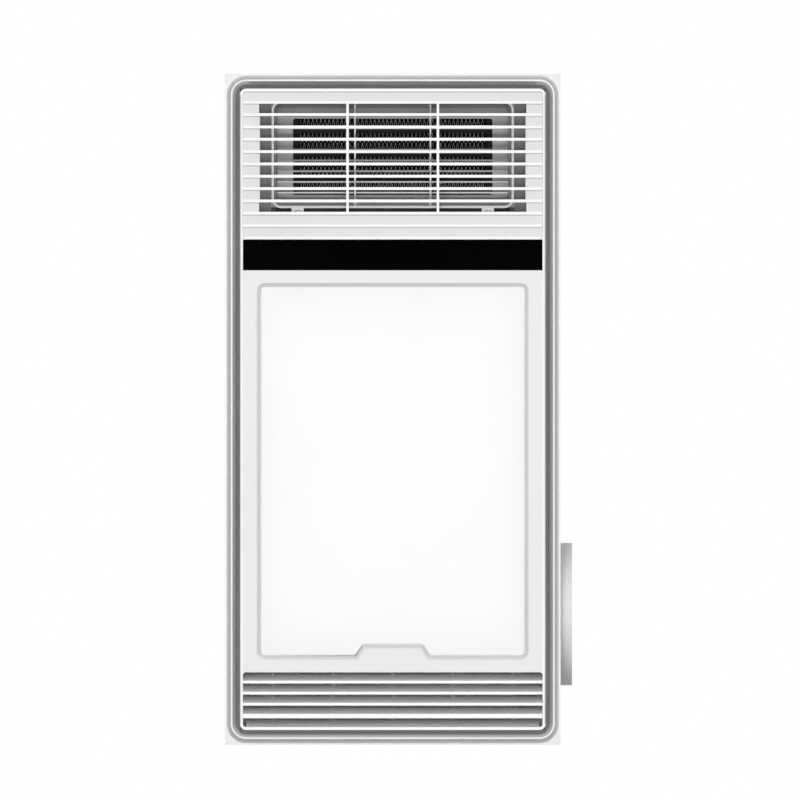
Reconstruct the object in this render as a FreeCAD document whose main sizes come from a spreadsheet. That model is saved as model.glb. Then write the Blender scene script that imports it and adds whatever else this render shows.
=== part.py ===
import FreeCAD, Part
import math
import os

import Sketcher

# Bathroom warm-air heater for a 300 x 600 mm opening in a panelled ceiling.
# Millimetres, +Z up. The origin is on the ceiling plane at the middle of the panel.
# The face looks down. -Y is the warm-air end, +Y is the intake end, the duct leaves on +X.

SIZES = {
    # Outer moulding: flat edge, sloped bead, groove
    "panel_width": 300.0,
    "panel_length": 600.0,
    "flange_thickness": 2.0,
    "edge_land": 1.5,
    "bead_slope": 3.4,
    "bead_width": 2.1,
    "bead_drop": 9.0,
    "bead_shoulder": 1.0,
    "bead_corner": 13.0,
    "groove_slant": 4.0,
    "groove_floor": 4.0,
    "moulding_wall": 2.0,
    "ledge_inset": 16.0,
    # Inner moulding
    "face_drop": 10.0,
    "face_inset": 13.4,
    "rim_width": 2.7,
    "face_plate": 3.2,
    "fit_gap": 0.15,
    # Warm-air outlet grille
    "outlet_depth": 148.3,
    "first_rib_inset": 25.6,
    "rib_spacing": 11.02,
    "rib_count": 12,
    "outlet_slat_count": 8,
    "rib_width": 2.5,
    "rib_relief": 1.5,
    "grille_plate": 2.2,
    "grille_depth": 7.5,
    "slat_web": 1.8,
    "window_inset": 30.6,
    "upright_offset": 40.4,
    "upright_width": 2.2,
    "upright_recess": 0.8,
    "end_tie_width": 0.8,
    "end_tie_recess": 3.0,
    # Black strip
    "strip_height": 27.6,
    "strip_thickness": 1.9,
    "strip_recess": 2.0,
    "strip_round": 0.5,
    # Light opening and cover
    "light_inset": 31.5,
    "light_start_inset": 190.0,
    "light_end_inset": 79.3,
    "light_corner": 4.3,
    "light_bevel": 3.0,
    "tongue_base": 66.0,
    "tongue_top": 53.0,
    "tongue_height": 10.0,
    "tongue_round": 4.0,
    "cover_gap": 0.6,
    "cover_recess": 3.0,
    "cover_sheet": 2.2,
    "cover_skirt": 2.0,
    "cover_height": 9.0,
    "cover_round": 1.0,
    "hinge_setback": 12.0,
    "hinge_rise": 3.0,
    "hinge_pin_radius": 1.25,
    "hinge_pin_length": 8.0,
    "hinge_boss_width": 8.0,
    "hinge_boss_length": 4.0,
    "running_gap": 0.06,
    "press_gap": 0.02,
    "catch_length": 14.0,
    "catch_width": 6.0,
    "catch_thickness": 1.5,
    "catch_offset": 70.0,
    "contact_gap": 0.3,
    # Light tray and lamps
    "tray_sheet": 1.0,
    "tray_top": 14.0,
    "tray_margin": 6.0,
    "tray_flange": 6.0,
    "tray_corner": 6.0,
    "tray_screw_inset": 12.0,
    "board_width": 18.0,
    "board_end_gap": 20.35,
    "board_thickness": 1.6,
    "board_spacing": 58.0,
    "board_count": 4,
    "chip_count": 12,
    "chip_length": 3.5,
    "chip_width": 2.8,
    "chip_height": 0.8,
    "driver_width": 40.0,
    "driver_length": 110.0,
    "driver_height": 24.0,
    "driver_inset": 59.0,
    "driver_y": 30.0,
    # Intake grille
    "intake_depth": 64.9,
    "slot_height": 7.4,
    "slat_land": 2.5,
    "slat_land_depth": 1.5,
    "last_slat_land": 3.9,
    "blade_rise": 13.5,
    "blade_run": 5.6,
    "blade_lean": 1.7,
    "intake_slat_count": 4,
    "intake_rib": 1.4,
    "intake_rib_count": 5,
    "intake_rib_height": 2.5,
    "seam_width": 0.5,
    "seam_depth": 0.6,
    # Housing
    "housing_inset": 22.0,
    "housing_top": 150.0,
    "housing_sheet": 1.0,
    "housing_corner": 4.0,
    "housing_flange": 11.0,
    "press_rib_width": 14.0,
    "press_rib_end": 68.0,
    "press_rib_height": 1.8,
    "press_rib_round": 1.6,
    "press_rib_inset": 44.0,
    "hanger_inset": 60.0,
    "hanger_width": 30.0,
    "hanger_reach": 20.0,
    "hanger_drop": 26.0,
    "hanger_height": 60.0,
    "hanger_sheet": 1.5,
    "hanger_hole_radius": 3.25,
    "hanger_hole_out": 11.0,
    "rivet_radius": 1.6,
    "rivet_head_radius": 3.2,
    "rivet_head_height": 1.2,
    "rivet_spacing": 18.0,
    # Screws
    "screw_radius": 1.5,
    "screw_head_radius": 3.0,
    "screw_head_height": 1.8,
    "screw_gap": 0.1,
    "pilot_length": 5.0,
    "panel_screw_spacing": 180.0,
    "panel_screw_shift": 20.0,
    "panel_end_screw_spacing": 120.0,
    "panel_boss_radius": 2.4,
    "panel_boss_height": 6.0,
    # Air nozzle
    "lip_inset": 41.8,
    "lip_height": 95.9,
    "lip_middle_inset": 72.25,
    "lip_corner": 8.5,
    "lip_level": 2.0,
    "throat_inset": 44.7,
    "throat_height": 86.5,
    "throat_middle_inset": 69.7,
    "throat_corner": 5.0,
    "throat_level": 10.0,
    "nozzle_wall": 2.0,
    "nozzle_back": 30.0,
    "back_plate": 2.0,
    "hood_inset": 38.0,
    "wing_level": 6.0,
    "wing_thickness": 1.5,
    "wing_end_inset": 123.5,
    "comb_offset": 33.7,
    "comb_thickness": 1.5,
    "comb_depth": 12.0,
    "tab_inset": 65.0,
    "tab_width": 11.0,
    "tab_thickness": 1.5,
    "tab_end_inset": 130.0,
    "tab_screw_inset": 124.7,
    # Swing blades
    "louver_count": 8,
    "louver_spacing": 9.6,
    "louver_middle_inset": 72.8,
    "louver_level": 16.0,
    "louver_chord": 10.0,
    "louver_thickness": 1.2,
    "louver_end_gap": 0.5,
    "louver_pin_radius": 0.8,
    "louver_pin_reach": 1.7,
    "comb_side_gap": 0.75,
    "crank_radius": 6.0,
    "crank_width": 5.0,
    "crank_thickness": 2.0,
    "crank_pin_radius": 1.0,
    "link_width": 4.0,
    "link_thickness": 2.0,
    "motor_shaft_length": 5.0,
    "louver_motor_radius": 8.5,
    "louver_motor_length": 15.0,
    "louver_motor_offset": 5.0,
    "louver_motor_stand": 3.5,
    "louver_motor_ear": 13.0,
    "louver_motor_post": 2.5,
    # Heating block
    "core_inset": 66.3,
    "core_start_inset": 40.3,
    "core_depth": 20.0,
    "core_window_inset": 60.9,
    "core_window_height": 68.1,
    "core_window_corner": 2.0,
    "rod_thickness": 3.6,
    "rod_count": 3,
    "fin_height": 8.9,
    "fin_thickness": 0.65,
    "fin_spacing": 3.7,
    "fin_gap": 0.05,
    "holder_end": 8.0,
    "holder_side": 4.0,
    "holder_lip": 2.0,
    "terminal_length": 14.0,
    "terminal_width": 6.3,
    "terminal_thickness": 0.8,
    "terminal_inset": 10.0,
    "cutout_radius": 8.0,
    "cutout_height": 7.0,
    "cutout_base_radius": 11.0,
    "cutout_base": 1.5,
    "cutout_inset": 85.0,
    "cutout_z": 90.0,
    # Hot-air hood
    "hood_sheet": 1.0,
    "hood_end_inset": 132.0,
    "hood_gap": 1.0,
    "hood_top_gap": 2.0,
    "bracket_sheet": 1.5,
    "bracket_top": 60.0,
    "bracket_foot_inset": 121.0,
    # Blowers
    "blower_base": 44.0,
    "blower_height": 68.0,
    "blower_wall": 1.6,
    "scroll_share": 0.188037,
    "scroll_growth": 9.0,
    "blower_mouth": 68.0,
    "inlet_plate": 2.0,
    "inlet_ledge": 5.0,
    "inlet_collar": 5.0,
    "scroll_tongue_gap": 6.0,
    "fan_blade_depth": 12.0,
    "impeller_lift": 8.0,
    "impeller_top_gap": 8.0,
    "impeller_disc": 2.0,
    "impeller_ring": 3.0,
    "impeller_ring_width": 5.0,
    "fan_blade_count": 28,
    "fan_blade_thickness": 1.0,
    "fan_blade_curve": 9.0,
    "fan_blade_set": 4.5,
    "fan_blade_tip": 0.5,
    "hub_radius": 9.0,
    "hub_height": 14.0,
    "shaft_radius": 4.0,
    "shaft_clearance": 2.0,
    "shaft_grip": 20.0,
    "motor_radius": 40.0,
    "motor_height": 34.0,
    "motor_neck": 18.0,
    "motor_shoulder": 6.0,
    "post_radius": 5.0,
    "post_offset": 36.8,
    "heater_wall_gap": 22.5,
    "heater_hood_gap": 42.0,
    "exhaust_wall_gap": 13.5,
    "mouth_flange": 58.0,
    "mouth_flange_sheet": 2.0,
    "capacitor_width": 26.0,
    "capacitor_length": 48.0,
    "capacitor_height": 34.0,
    "capacitor_inset": 50.0,
    "capacitor_y": 62.0,
    "capacitor_spacing": 54.0,
    "capacitor_corner": 3.0,
    # Exhaust duct
    "duct_radius": 63.6,
    "duct_wall": 1.8,
    "duct_inset": 117.0,
    "duct_z": 78.0,
    "duct_reach": 32.2,
    "duct_throat": 47.6,
    "duct_flange_radius": 67.6,
    "duct_flange_sheet": 2.0,
    "collar_ear_reach": 49.3,
    "collar_ear_radius": 6.0,
    "collar_screw_length": 6.0,
    "flap_radius": 50.6,
    "flap_sheet": 1.5,
    "flap_pin_radius": 1.5,
    "flap_pivot_above": 3.0,
    "flap_knuckle_radius": 3.2,
    "flap_knuckle_length": 36.0,
    "flap_lug_width": 5.0,
    "flap_lug_height": 8.0,
    # Wiring box
    "wiring_length": 100.0,
    "wiring_height": 60.0,
    "wiring_depth": 18.0,
    "wiring_wall": 2.0,
    "wiring_y": -20.0,
    "wiring_z": 100.0,
    "wiring_corner": 4.0,
    "lid_thickness": 2.0,
    "lid_screw_inset": 6.0,
    "terminal_spacing": 11.0,
    "terminal_block_width": 16.0,
    "terminal_block_height": 12.0,
    "gland_bore": 4.5,
    "gland_radius": 7.0,
    "gland_nut_radius": 8.0,
    "gland_length": 14.0,
    "gland_flange": 4.0,
    "lid_screw_length": 9.0,
    "lid_boss": 4.6,
    "terminal_count": 5,
    "terminal_screw_radius": 2.0,
    "terminal_screw_depth": 4.0,
}

doc = FreeCAD.newDocument("bathroom_ceiling_heater")
sheet = doc.addObject("Spreadsheet::Sheet", "sizes")


class Size:
    """A driving size, or a sum of them: its value and the expression that stays bound to the sheet."""

    def __init__(self, value, text=None):
        self.value = float(value)
        self.text = f"{self.value:.6f}" if text is None else text

    def __add__(self, other):
        other = as_size(other)
        return Size(self.value + other.value, f"({self.text} + {other.text})")

    def __sub__(self, other):
        other = as_size(other)
        return Size(self.value - other.value, f"({self.text} - {other.text})")

    def __mul__(self, other):
        other = as_size(other)
        return Size(self.value * other.value, f"({self.text} * {other.text})")

    def __truediv__(self, other):
        other = as_size(other)
        return Size(self.value / other.value, f"({self.text} / {other.text})")

    def __neg__(self):
        return Size(-self.value, f"(-{self.text})")

    def __radd__(self, other):
        return as_size(other) + self

    def __rsub__(self, other):
        return as_size(other) - self

    def __rmul__(self, other):
        return as_size(other) * self


def as_size(number):
    return number if isinstance(number, Size) else Size(number)


class Sheet:
    """The driving sizes by name."""


dim = Sheet()
for row, (alias, value) in enumerate(SIZES.items(), start=1):
    sheet.set(f"A{row}", alias)
    sheet.set(f"B{row}", str(value))
    sheet.setAlias(f"B{row}", alias)
    setattr(dim, alias, Size(value, f"sizes.{alias}"))
doc.recompute()


def whole(count):
    return int(round(count.value))


def bind(thing, prop, size):
    thing.setExpression(prop, as_size(size).text)


def place(thing, x=0, y=0, z=0):
    for axis, size in zip("xyz", (x, y, z)):
        bind(thing, f"Placement.Base.{axis}", size)
    return thing


# Part primitives and booleans with bound sizes
AXIS_TURN = {
    "X": FreeCAD.Rotation(FreeCAD.Vector(0, 1, 0), 90),
    "Y": FreeCAD.Rotation(FreeCAD.Vector(1, 0, 0), -90),
    "Z": FreeCAD.Rotation(),
}


def block(name, x, y, z):
    """A box from three (low, high) pairs."""
    box = doc.addObject("Part::Box", name)
    for prop, (low, high) in zip(("Length", "Width", "Height"), (x, y, z)):
        bind(box, prop, as_size(high) - low)
    return place(box, x[0], y[0], z[0])


def rod(name, axis, start, radius, length):
    """A cylinder along a row axis from its start point."""
    cylinder = doc.addObject("Part::Cylinder", name)
    bind(cylinder, "Radius", radius)
    bind(cylinder, "Height", length)
    cylinder.Placement = FreeCAD.Placement(FreeCAD.Vector(), AXIS_TURN[axis])
    return place(cylinder, *start)


def fuse(name, shapes):
    joined = doc.addObject("Part::MultiFuse", name)
    joined.Shapes = shapes
    joined.Refine = True
    return joined


def cut(name, base, tools):
    remaining = doc.addObject("Part::Cut", name)
    remaining.Base = base
    remaining.Tool = tools[0] if len(tools) == 1 else fuse(f"{name}_tools", tools)
    remaining.Refine = True
    return remaining


def group(name, shapes):
    """Separate solids that share one node."""
    compound = doc.addObject("Part::Compound", name)
    compound.Links = shapes
    return compound


# Sketches
def new_body(name):
    return doc.addObject("PartDesign::Body", name)


def origin_feature(body, role):
    return next(f for f in body.Origin.OriginFeatures if f.Role == role)


def sketch_on(body, role, offset=0, name="outline"):
    """A sketch on one of the body's own planes, moved along the plane's normal."""
    sketch = body.newObject("Sketcher::SketchObject", name)
    sketch.AttachmentSupport = (origin_feature(body, role), [""])
    sketch.MapMode = "FlatFace"
    bind(sketch, "AttachmentOffset.Base.z", offset)
    return sketch


def dimension(sketch, kind, size, *where):
    index = sketch.addConstraint(Sketcher.Constraint(kind, *where, size.value))
    sketch.setExpression(f"Constraints[{index}]", size.text)


def pin_point(sketch, edge, end, x, y):
    dimension(sketch, "DistanceX", as_size(x), -1, 1, edge, end)
    dimension(sketch, "DistanceY", as_size(y), -1, 1, edge, end)


def add_polygon(sketch, points):
    """A closed outline of straight edges, each corner fixed by two sizes."""
    first = sketch.GeometryCount
    corners = [FreeCAD.Vector(as_size(x).value, as_size(y).value, 0) for x, y in points]
    count = len(points)
    for i in range(count):
        sketch.addGeometry(Part.LineSegment(corners[i], corners[(i + 1) % count]), False)
    for i in range(count):
        following = first + (i + 1) % count
        sketch.addConstraint(Sketcher.Constraint("Coincident", first + i, 2, following, 1))
    for i, (x, y) in enumerate(points):
        pin_point(sketch, first + i, 1, x, y)
    return sketch


def add_rectangle(sketch, x, y):
    return add_polygon(sketch, [(x[0], y[0]), (x[1], y[0]), (x[1], y[1]), (x[0], y[1])])


def add_rounded(sketch, x, y, radius):
    """A rectangle with four equal round corners, from (low, high) pairs."""
    first = sketch.GeometryCount
    x0, x1, y0, y1 = (as_size(v).value for v in (*x, *y))
    r = radius.value
    lines = [
        ((x1, y0 + r), (x1, y1 - r)),
        ((x1 - r, y1), (x0 + r, y1)),
        ((x0, y1 - r), (x0, y0 + r)),
        ((x0 + r, y0), (x1 - r, y0)),
    ]
    centres = [(x1 - r, y1 - r), (x0 + r, y1 - r), (x0 + r, y0 + r), (x1 - r, y0 + r)]
    up = FreeCAD.Vector(0, 0, 1)
    for i in range(4):
        start, end = (FreeCAD.Vector(*point, 0) for point in lines[i])
        sketch.addGeometry(Part.LineSegment(start, end), False)
        circle = Part.Circle(FreeCAD.Vector(*centres[i], 0), up, r)
        turn = i * math.pi / 2
        sketch.addGeometry(Part.ArcOfCircle(circle, turn, turn + math.pi / 2), False)
    for i in range(8):
        here = first + i
        following = first + (i + 1) % 8
        sketch.addConstraint(Sketcher.Constraint("Tangent", here, 2, following, 1))
    for i, way in enumerate(("Vertical", "Horizontal", "Vertical", "Horizontal")):
        sketch.addConstraint(Sketcher.Constraint(way, first + 2 * i))
    for i in (3, 5, 7):
        sketch.addConstraint(Sketcher.Constraint("Equal", first + 1, first + i))
    dimension(sketch, "Radius", radius, first + 1)
    dimension(sketch, "DistanceX", as_size(x[1]), -1, 1, first, 1)
    dimension(sketch, "DistanceX", as_size(x[0]), -1, 1, first + 4, 1)
    dimension(sketch, "DistanceY", as_size(y[1]), -1, 1, first + 2, 1)
    dimension(sketch, "DistanceY", as_size(y[0]), -1, 1, first + 6, 1)
    return sketch


def add_circle(sketch, x, y, radius):
    centre = FreeCAD.Vector(as_size(x).value, as_size(y).value, 0)
    edge = sketch.addGeometry(Part.Circle(centre, FreeCAD.Vector(0, 0, 1), radius.value), False)
    pin_point(sketch, edge, 3, x, y)
    dimension(sketch, "Radius", radius, edge)
    return sketch


# Features
def pad(body, sketch, length, symmetric=False, back=False):
    feature = body.newObject("PartDesign::Pad", "pad")
    feature.Profile = sketch
    bind(feature, "Length", length)
    feature.Reversed = back
    feature.SideType = "Symmetric" if symmetric else "One side"
    doc.recompute()
    return feature


def pocket(body, sketch, length, symmetric=False, back=False):
    """A cut that must take material away."""
    before = body.Tip.Shape.Volume
    feature = body.newObject("PartDesign::Pocket", "pocket")
    feature.Profile = sketch
    bind(feature, "Length", length)
    feature.Reversed = back
    feature.SideType = "Symmetric" if symmetric else "One side"
    doc.recompute()
    if not feature.Shape.Volume < before:
        raise RuntimeError(f"{body.Label}: a pocket removes nothing")
    return feature


def repeat(body, feature, axis, pitch, count):
    pattern = body.newObject("PartDesign::LinearPattern", "pattern")
    pattern.Originals = [feature]
    pattern.Direction = (origin_feature(body, axis), [""])
    bind(pattern, "Length", pitch * (count - 1))
    pattern.Occurrences = count
    body.Tip = pattern
    doc.recompute()
    return pattern


def edges_where(feature, test):
    return [f"Edge{i}" for i, edge in enumerate(feature.Shape.Edges, start=1) if test(edge)]


def soften(body, kind, prop, size, test):
    """A fillet or chamfer on the edges of the last feature that pass the test."""
    base = body.Tip
    names = edges_where(base, test)
    if not names:
        raise RuntimeError(f"{body.Label}: no edge to soften")
    feature = body.newObject(f"PartDesign::{kind}", kind.lower())
    feature.Base = (base, names)
    bind(feature, prop, size)
    doc.recompute()
    return feature


def upright_at(corners, tolerance=0.01):
    """A test for edges along Z that stand at one of the (x, y) corners."""

    def test(edge):
        box = edge.BoundBox
        if box.ZLength < tolerance or box.XLength > tolerance or box.YLength > tolerance:
            return False
        here = (box.Center.x, box.Center.y)
        return any(math.dist(here, corner) < tolerance for corner in corners)

    return test


def flat_within(level, x, y, tolerance=0.01):
    """A test for edges that lie at one level inside (low, high) limits."""

    def test(edge):
        box = edge.BoundBox
        level_ok = abs(box.ZMin - level) < tolerance and box.ZLength < tolerance
        x_ok = x[0] - tolerance <= box.XMin and box.XMax <= x[1] + tolerance
        y_ok = y[0] - tolerance <= box.YMin and box.YMax <= y[1] + tolerance
        return level_ok and x_ok and y_ok

    return test


def both(size):
    return (-as_size(size), as_size(size))


def span(middle, width):
    """The (low, high) pair of a width about its middle."""
    return (middle - width / 2, middle + width / 2)


def grown(pair, amount):
    """A (low, high) pair with both ends moved out."""
    return (pair[0] - amount, pair[1] + amount)


def values(sizes):
    return tuple(size.value for size in sizes)


parts = {}


def keep(name, thing):
    """Names a finished sub-part; its label is its node and file name."""
    thing.Label = name
    parts[name] = thing
    return thing


# Shared places, worked out from the sizes. Names that end in _x or _y are distances from the middle.
half_width = dim.panel_width / 2
half_length = dim.panel_length / 2
bead_centre = dim.edge_land + dim.bead_slope + dim.bead_width / 2
face_x = half_width - dim.face_inset
face_y = half_length - dim.face_inset
face_corner = dim.bead_corner - (dim.face_inset - bead_centre)
cavity_x = face_x - dim.rim_width
cavity_y = face_y - dim.rim_width
cavity_corner = face_corner - dim.rim_width
face_level = -dim.face_drop
plate_back = dim.face_plate - dim.face_drop
ledge_top = dim.groove_floor + dim.moulding_wall

outlet_edge = half_length - dim.outlet_depth
first_rib = half_length - dim.first_rib_inset
window_x = half_width - dim.window_inset
strip_end = outlet_edge - dim.strip_height
intake_edge = half_length - dim.intake_depth
boss_level = dim.groove_floor - dim.panel_boss_height

light_x = half_width - dim.light_inset
light_start = half_length - dim.light_start_inset
light_end = half_length - dim.light_end_inset
hinge_y = dim.hinge_setback - light_start
hinge_z = face_level + dim.cover_recess + dim.hinge_rise
tray_x = light_x + dim.tray_margin
tray_y = (-light_start - dim.tray_margin, light_end + dim.tray_margin)
board_length = light_start + light_end - 2 * dim.board_end_gap
driver_x = half_width - dim.driver_inset

housing_x = half_width - dim.housing_inset
housing_y = half_length - dim.housing_inset
inside_x = housing_x - dim.housing_sheet
inside_y = housing_y - dim.housing_sheet
inside_top = dim.housing_top - dim.housing_sheet
capacitor_x = half_width - dim.capacitor_inset

lip_width = 2 * (half_width - dim.lip_inset)
lip_centre = half_length - dim.lip_middle_inset
throat_width = 2 * (half_width - dim.throat_inset)
throat_centre = half_length - dim.throat_middle_inset
throat_x = throat_width / 2 - dim.nozzle_wall
nozzle_side = throat_width / 2
back_top = dim.nozzle_back + dim.back_plate
tab_offset = half_width - dim.tab_inset
tab_end = half_length - dim.tab_end_inset
tab_screw = half_length - dim.tab_screw_inset
wing_end = half_length - dim.wing_end_inset
bracket_foot_end = half_length - dim.bracket_foot_inset
core_x = half_width - dim.core_inset
core_start = half_length - dim.core_start_inset
core_height = dim.rod_count * (2 * dim.fin_height + dim.rod_thickness)
core_y = (-core_start, core_height - core_start)
hood_x = half_width - dim.hood_inset
hood_end = half_length - dim.hood_end_inset
cutout_y = half_length - dim.cutout_inset
louver_centre = half_length - dim.louver_middle_inset
louver_first = louver_centre + dim.louver_spacing * (dim.louver_count - 1) / 2

duct_y = half_length - dim.duct_inset
scroll_radius = (hood_end + duct_y) * dim.scroll_share
impeller_radius = scroll_radius - dim.scroll_tongue_gap
impeller_inner = impeller_radius - dim.fan_blade_depth
impeller_height = dim.blower_height - dim.impeller_lift - dim.impeller_top_gap
inlet_radius = impeller_inner - dim.inlet_ledge
heater_x = inside_x - dim.heater_wall_gap - scroll_radius - 1.5 * dim.scroll_growth
heater_y = scroll_radius + dim.heater_hood_gap - hood_end
exhaust_x = dim.exhaust_wall_gap - inside_x + scroll_radius + 2.5 * dim.scroll_growth


def screw_places():
    """Where the panel screws stand: along both sides and across both ends."""
    side = half_width - dim.ledge_inset
    end = half_length - dim.ledge_inset
    rows = [dim.panel_screw_spacing * step - dim.panel_screw_shift for step in (-1, 0, 1)]
    places = [(x, y) for x in both(side) for y in rows]
    return places + [(x, y) for x in both(dim.panel_end_screw_spacing / 2) for y in both(end)]


def shifted(point, axis, amount):
    """A point moved along a row axis."""
    moved = list(point)
    moved["XYZ".index(axis)] += amount
    return tuple(moved)


def screw(name, axis, seat, way, length):
    """A pan-head screw: the head stands off its seat point, the shank goes the other way."""
    head_height = dim.screw_head_height
    head_start = seat if way > 0 else shifted(seat, axis, -head_height)
    shank_start = shifted(seat, axis, -length) if way > 0 else seat
    head = rod(f"{name}_head", axis, head_start, dim.screw_head_radius, head_height)
    shank = rod(f"{name}_shank", axis, shank_start, dim.screw_radius, length)
    return fuse(name, [head, shank])


def hole(name, x, y, low, high):
    """A cutter for a screw's clearance hole along Z."""
    return rod(name, "Z", (x, y, low), dim.screw_radius + dim.screw_gap, as_size(high) - low)


# Outer moulding: a square-cornered edge with a sloped bead and a deep groove swept round it
def make_panel_frame():
    body = new_body("panel_frame_body")
    edge = sketch_on(body, "XY_Plane", -dim.flange_thickness)
    add_rectangle(edge, both(half_width), both(half_length))
    land = dim.edge_land + dim.moulding_wall / 2
    land_corner = dim.bead_corner + bead_centre - land
    add_rounded(edge, both(half_width - land), both(half_length - land), land_corner)
    pad(body, edge, dim.flange_thickness)

    path = sketch_on(body, "XY_Plane", 0, "bead_path")
    add_rounded(path, both(half_width - bead_centre), both(half_length - bead_centre), dim.bead_corner)

    profile = sketch_on(body, "XZ_Plane", 0, "bead_profile")
    shoulder = dim.bead_shoulder - dim.bead_drop
    slope_top = dim.edge_land + dim.bead_slope
    wall_top = slope_top + dim.bead_width
    wall_foot = wall_top + dim.groove_slant
    corners = [
        (dim.edge_land, -dim.flange_thickness),
        (slope_top, shoulder),
        (wall_top, shoulder),
        (wall_foot, dim.groove_floor),
        (dim.ledge_inset, dim.groove_floor),
        (dim.ledge_inset, ledge_top),
        (wall_foot - dim.moulding_wall, ledge_top),
        (bead_centre, 2 * dim.moulding_wall - dim.bead_drop),
        (dim.edge_land + dim.moulding_wall, Size(0)),
        (dim.edge_land, Size(0)),
    ]
    points = [(half_width - inset, level) for inset, level in corners]
    spots = [FreeCAD.Vector(x.value, z.value, 0) for x, z in points]
    crest = FreeCAD.Vector((half_width - bead_centre).value, -dim.bead_drop.value, 0)
    count = len(points)
    for i in range(count):
        start, end = spots[i], spots[(i + 1) % count]
        edge = Part.Arc(start, crest, end) if i == 1 else Part.LineSegment(start, end)
        profile.addGeometry(edge, False)
    # The bead is an arc that runs clockwise, so its two ends are swapped in the sketch
    ends = {1: (2, 1)}
    for i in range(count):
        following = (i + 1) % count
        last = ends.get(i, (1, 2))[1]
        start = ends.get(following, (1, 2))[0]
        profile.addConstraint(Sketcher.Constraint("Coincident", i, last, following, start))
        pin_point(profile, i, ends.get(i, (1, 2))[0], *points[i])
    half_bead = dim.bead_width / 2
    bead_radius = (half_bead * half_bead + dim.bead_shoulder * dim.bead_shoulder) / (2 * dim.bead_shoulder)
    dimension(profile, "Radius", bead_radius, 1)
    doc.recompute()
    sweep = body.newObject("PartDesign::AdditivePipe", "bead")
    sweep.Profile = profile
    sweep.Spine = (path, [])
    doc.recompute()
    holes = [hole("frame_hole", x, y, dim.groove_floor, ledge_top) for x, y in screw_places()]
    keep("panel_frame", cut("panel_frame", body, holes))


# Inner moulding: a shallow tray with the rim, the strip recess and the bevelled light opening
def light_outline(gap):
    """The light opening drawn in by a gap, with the tongue in the middle of its lower edge."""
    x = light_x - gap
    start = gap - light_start
    end = light_end - gap
    notch = end - dim.tongue_height
    base = dim.tongue_base / 2 + gap
    top = dim.tongue_top / 2 + gap
    tongue = [(base, end), (top, notch), (-top, notch), (-base, end)]
    return [(-x, start), (x, start), (x, end)] + tongue + [(-x, end)]


def corner_values(points, chosen):
    return [(points[i][0].value, points[i][1].value) for i in chosen]


def make_face_panel():
    body = new_body("face_panel_body")
    outline = sketch_on(body, "XY_Plane", face_level)
    add_rounded(outline, both(face_x), both(face_y), face_corner)
    pad(body, outline, dim.face_drop + dim.groove_floor)
    cavity = sketch_on(body, "XY_Plane", dim.groove_floor)
    add_rounded(cavity, both(cavity_x), both(cavity_y), cavity_corner)
    pocket(body, cavity, dim.face_drop + dim.groove_floor - dim.face_plate)
    for ends in ((-cavity_y, -outlet_edge), (intake_edge, cavity_y)):
        opening = sketch_on(body, "XY_Plane", plate_back)
        add_rounded(opening, both(cavity_x), ends, cavity_corner)
        pocket(body, opening, dim.face_plate)
    recess = sketch_on(body, "XY_Plane", face_level)
    add_rectangle(recess, both(cavity_x), (-outlet_edge, -strip_end))
    pocket(body, recess, dim.strip_recess, back=True)

    opening = sketch_on(body, "XY_Plane", plate_back)
    points = light_outline(Size(0))
    add_polygon(opening, points)
    pocket(body, opening, dim.face_plate)
    soften(body, "Fillet", "Radius", dim.light_corner, upright_at(corner_values(points, (0, 1, 2, 7))))
    soften(body, "Fillet", "Radius", dim.tongue_round, upright_at(corner_values(points, (4, 5))))
    limits = (values(both(light_x)), values((-light_start, light_end)))
    soften(body, "Chamfer", "Size", dim.light_bevel, flat_within(face_level.value, *limits))

    bosses = sketch_on(body, "XY_Plane", plate_back)
    boss_start = light_x + dim.contact_gap
    reach = dim.hinge_boss_width / 2
    for side in (1, -1):
        x = sorted((side * boss_start, side * (boss_start + dim.hinge_boss_length)), key=lambda s: s.value)
        add_rectangle(bosses, x, (hinge_y - reach, hinge_y + reach))
    pad(body, bosses, hinge_z + dim.hinge_pin_radius * 2 - plate_back)
    bore = sketch_on(body, "YZ_Plane")
    add_circle(bore, hinge_y, hinge_z, dim.hinge_pin_radius + dim.running_gap)
    pocket(body, bore, 2 * (boss_start + dim.hinge_boss_length), symmetric=True)

    screw_bosses = [
        rod("panel_boss", "Z", (x, y, boss_level), dim.panel_boss_radius, dim.panel_boss_height)
        for x, y in screw_places()
    ]
    pilots = [
        hole("panel_pilot", x, y, dim.groove_floor - dim.pilot_length, dim.groove_floor)
        for x, y in screw_places()
    ]
    pilot_end = plate_back - dim.face_plate / 2
    pilots += [hole("tray_pilot", x, y, pilot_end, plate_back) for x, y in tray_screws()]
    keep("face_panel", cut("face_panel", fuse("face_with_bosses", [body] + screw_bosses), pilots))


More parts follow.
